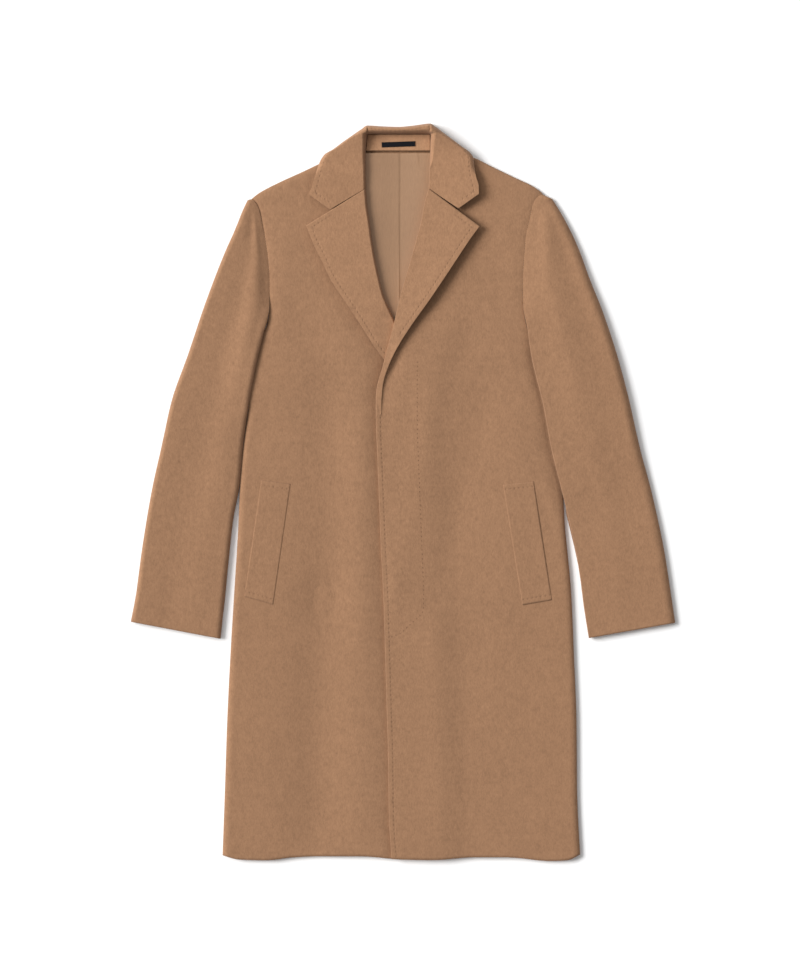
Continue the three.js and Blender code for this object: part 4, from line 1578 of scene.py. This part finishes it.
class OVERCOAT_OT_lapels(bpy.types.Operator):
    """Make the lapels"""

    bl_idname = "overcoat.lapels"
    bl_label = "Lapels"

    def execute(self, context):
        for side in ("right", "left"):
            surface = lapel_surface(side, *grid("lapel"))
            dress(f"lapel_{side}", surface, "wool turned painted sheen")
        return {"FINISHED"}


class OVERCOAT_OT_collar(bpy.types.Operator):
    """Make the collar"""

    bl_idname = "overcoat.collar"
    bl_label = "Collar"

    def execute(self, context):
        surface = collar_surface(*grid("collar"))
        dress("collar", surface, "wool turned painted sheen")
        return {"FINISHED"}


class OVERCOAT_OT_neck(bpy.types.Operator):
    """Make the back lining, the neck facing and the bare label"""

    bl_idname = "overcoat.neck"
    bl_label = "Lining, facing and label"

    def execute(self, context):
        dress("back_lining", lining_surface(*grid("lining")), "lining satin")
        # The neck facing is painted lighter against the collar's shade
        dress("neck_facing", facing_surface(*grid("facing")), "wool facing painted light")
        dress("label", label_surface(*grid("label")), "label tape")
        return {"FINISHED"}


class OVERCOAT_OT_welts(bpy.types.Operator):
    """Make the pocket welts"""

    bl_idname = "overcoat.welts"
    bl_label = "Pocket welts"

    def execute(self, context):
        for side in ("right", "left"):
            surface = welt_surface(side, *grid("welt"))
            dress(f"welt_{side}", surface, "wool stitched")
        return {"FINISHED"}


class OVERCOAT_OT_flap_stitches(bpy.types.Operator):
    """Sew the line that holds the hidden button flap to the left front"""

    bl_idname = "overcoat.flap_stitches"
    bl_label = "Flap stitches"

    def execute(self, context):
        line = np.stack([FLAP_LINE["across"], FLAP_LINE["up"]], -1)
        row = thread_row("flap_stitches", "left", line, settings().stitch_spacing / MM)
        row.data.materials.append(material("sewing thread"))
        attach(row, "root")
        return {"FINISHED"}


class OVERCOAT_OT_under_layer(bpy.types.Operator):
    """Give the back and the under sleeves, which keep their solids, the wool's finish"""

    bl_idname = "overcoat.under_layer"
    bl_label = "Back and under sleeves"

    def execute(self, context):
        for node in ("back", "under_sleeve_right", "under_sleeve_left"):
            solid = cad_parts[node]
            solid.data.materials.clear()
            solid.data.materials.append(material("wool plain"))
        return {"FINISHED"}


class OVERCOAT_OT_stage(bpy.types.Operator):
    """Make the pale floor, the soft light from the left and the camera straight above"""

    bl_idname = "overcoat.stage"
    bl_label = "Stage"

    def execute(self, context):
        self.floor()
        self.lamp("key", "SUN", KEY_PLACE, KEY_POWER).angle = np.radians(KEY_WIDTH)
        self.lamp("top fill", "AREA", FILL_PLACE, FILL_POWER).size = FILL_WIDTH
        world = bpy.data.worlds.new("soft white")
        world.use_nodes = True
        world.node_tree.nodes["Background"].inputs["Color"].default_value = (1, 1, 1, 1)
        world.node_tree.nodes["Background"].inputs["Strength"].default_value = WORLD_LIGHT
        context.scene.world = world
        context.scene.view_settings.view_transform = "Standard"
        self.camera(context.scene)
        return {"FINISHED"}

    def floor(self):
        """Pale square that the coat lies on."""
        mesh = bpy.data.meshes.new("floor")
        corners = [(x * FLOOR_HALF, y * FLOOR_HALF, 0) for x, y in ((-1, -1), (1, -1), (1, 1), (-1, 1))]
        mesh.from_pydata(corners, [], [(0, 1, 2, 3)])
        pale, _, shader = blank("pale floor", {"Roughness": FLOOR_ROUGH})
        shader.inputs["Base Color"].default_value = (FLOOR_TONE, FLOOR_TONE, FLOOR_TONE, 1)
        mesh.materials.append(pale)
        placed("floor", mesh)

    def lamp(self, name, kind, place, power):
        """Lamp that faces the middle of the coat."""
        lamp = bpy.data.lights.new(name, kind)
        lamp.energy = power
        obj = placed(name, lamp)
        obj.location = place
        obj.rotation_euler = (-Vector(place)).to_track_quat("-Z", "Y").to_euler()
        return lamp

    def camera(self, scene):
        """Long lens straight above, with one row of the photo to each step of the surface."""
        camera = bpy.data.cameras.new("camera")
        camera.sensor_fit = "VERTICAL"
        camera.sensor_height = SENSOR
        camera.lens = SENSOR * CAMERA_UP / (PHOTO_ROWS * ROW_SIZE)
        camera.clip_end = CAMERA_FAR
        scene.camera = placed("camera", camera)
        scene.camera.location = (*(PHOTO_MIDDLE * MM - SHIFT), CAMERA_UP)


class OVERCOAT_PT_panel(bpy.types.Panel):
    """Lists the steps that make the coat"""

    bl_label = "Overcoat"
    bl_idname = "OVERCOAT_PT_panel"
    bl_space_type = "VIEW_3D"
    bl_region_type = "UI"
    bl_category = "Overcoat"

    def draw(self, context):
        for name in OvercoatSettings.__annotations__:
            self.layout.prop(context.scene.overcoat, name)
        for step in STEPS:
            self.layout.operator(step.bl_idname)


STEPS = (
    OVERCOAT_OT_under_layer,
    OVERCOAT_OT_fronts,
    OVERCOAT_OT_sleeves,
    OVERCOAT_OT_neck,
    OVERCOAT_OT_lapels,
    OVERCOAT_OT_collar,
    OVERCOAT_OT_welts,
    OVERCOAT_OT_flap_stitches,
    OVERCOAT_OT_stage,
)
CLASSES = (OvercoatSettings, *STEPS, OVERCOAT_PT_panel)


def register():
    """Make the coat's classes and settings known."""
    for item in CLASSES:
        bpy.utils.register_class(item)
    bpy.types.Scene.overcoat = bpy.props.PointerProperty(type=OvercoatSettings)


def unregister():
    """Take the coat's settings and classes away again."""
    del bpy.types.Scene.overcoat
    for item in reversed(CLASSES):
        bpy.utils.unregister_class(item)


def main():
    """Register the coat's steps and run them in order."""
    register()
    bpy.ops.overcoat.under_layer()
    bpy.ops.overcoat.fronts()
    bpy.ops.overcoat.sleeves()
    bpy.ops.overcoat.neck()
    bpy.ops.overcoat.lapels()
    bpy.ops.overcoat.collar()
    bpy.ops.overcoat.welts()
    bpy.ops.overcoat.flap_stitches()
    bpy.ops.overcoat.stage()


if __name__ == "__main__":
    main()
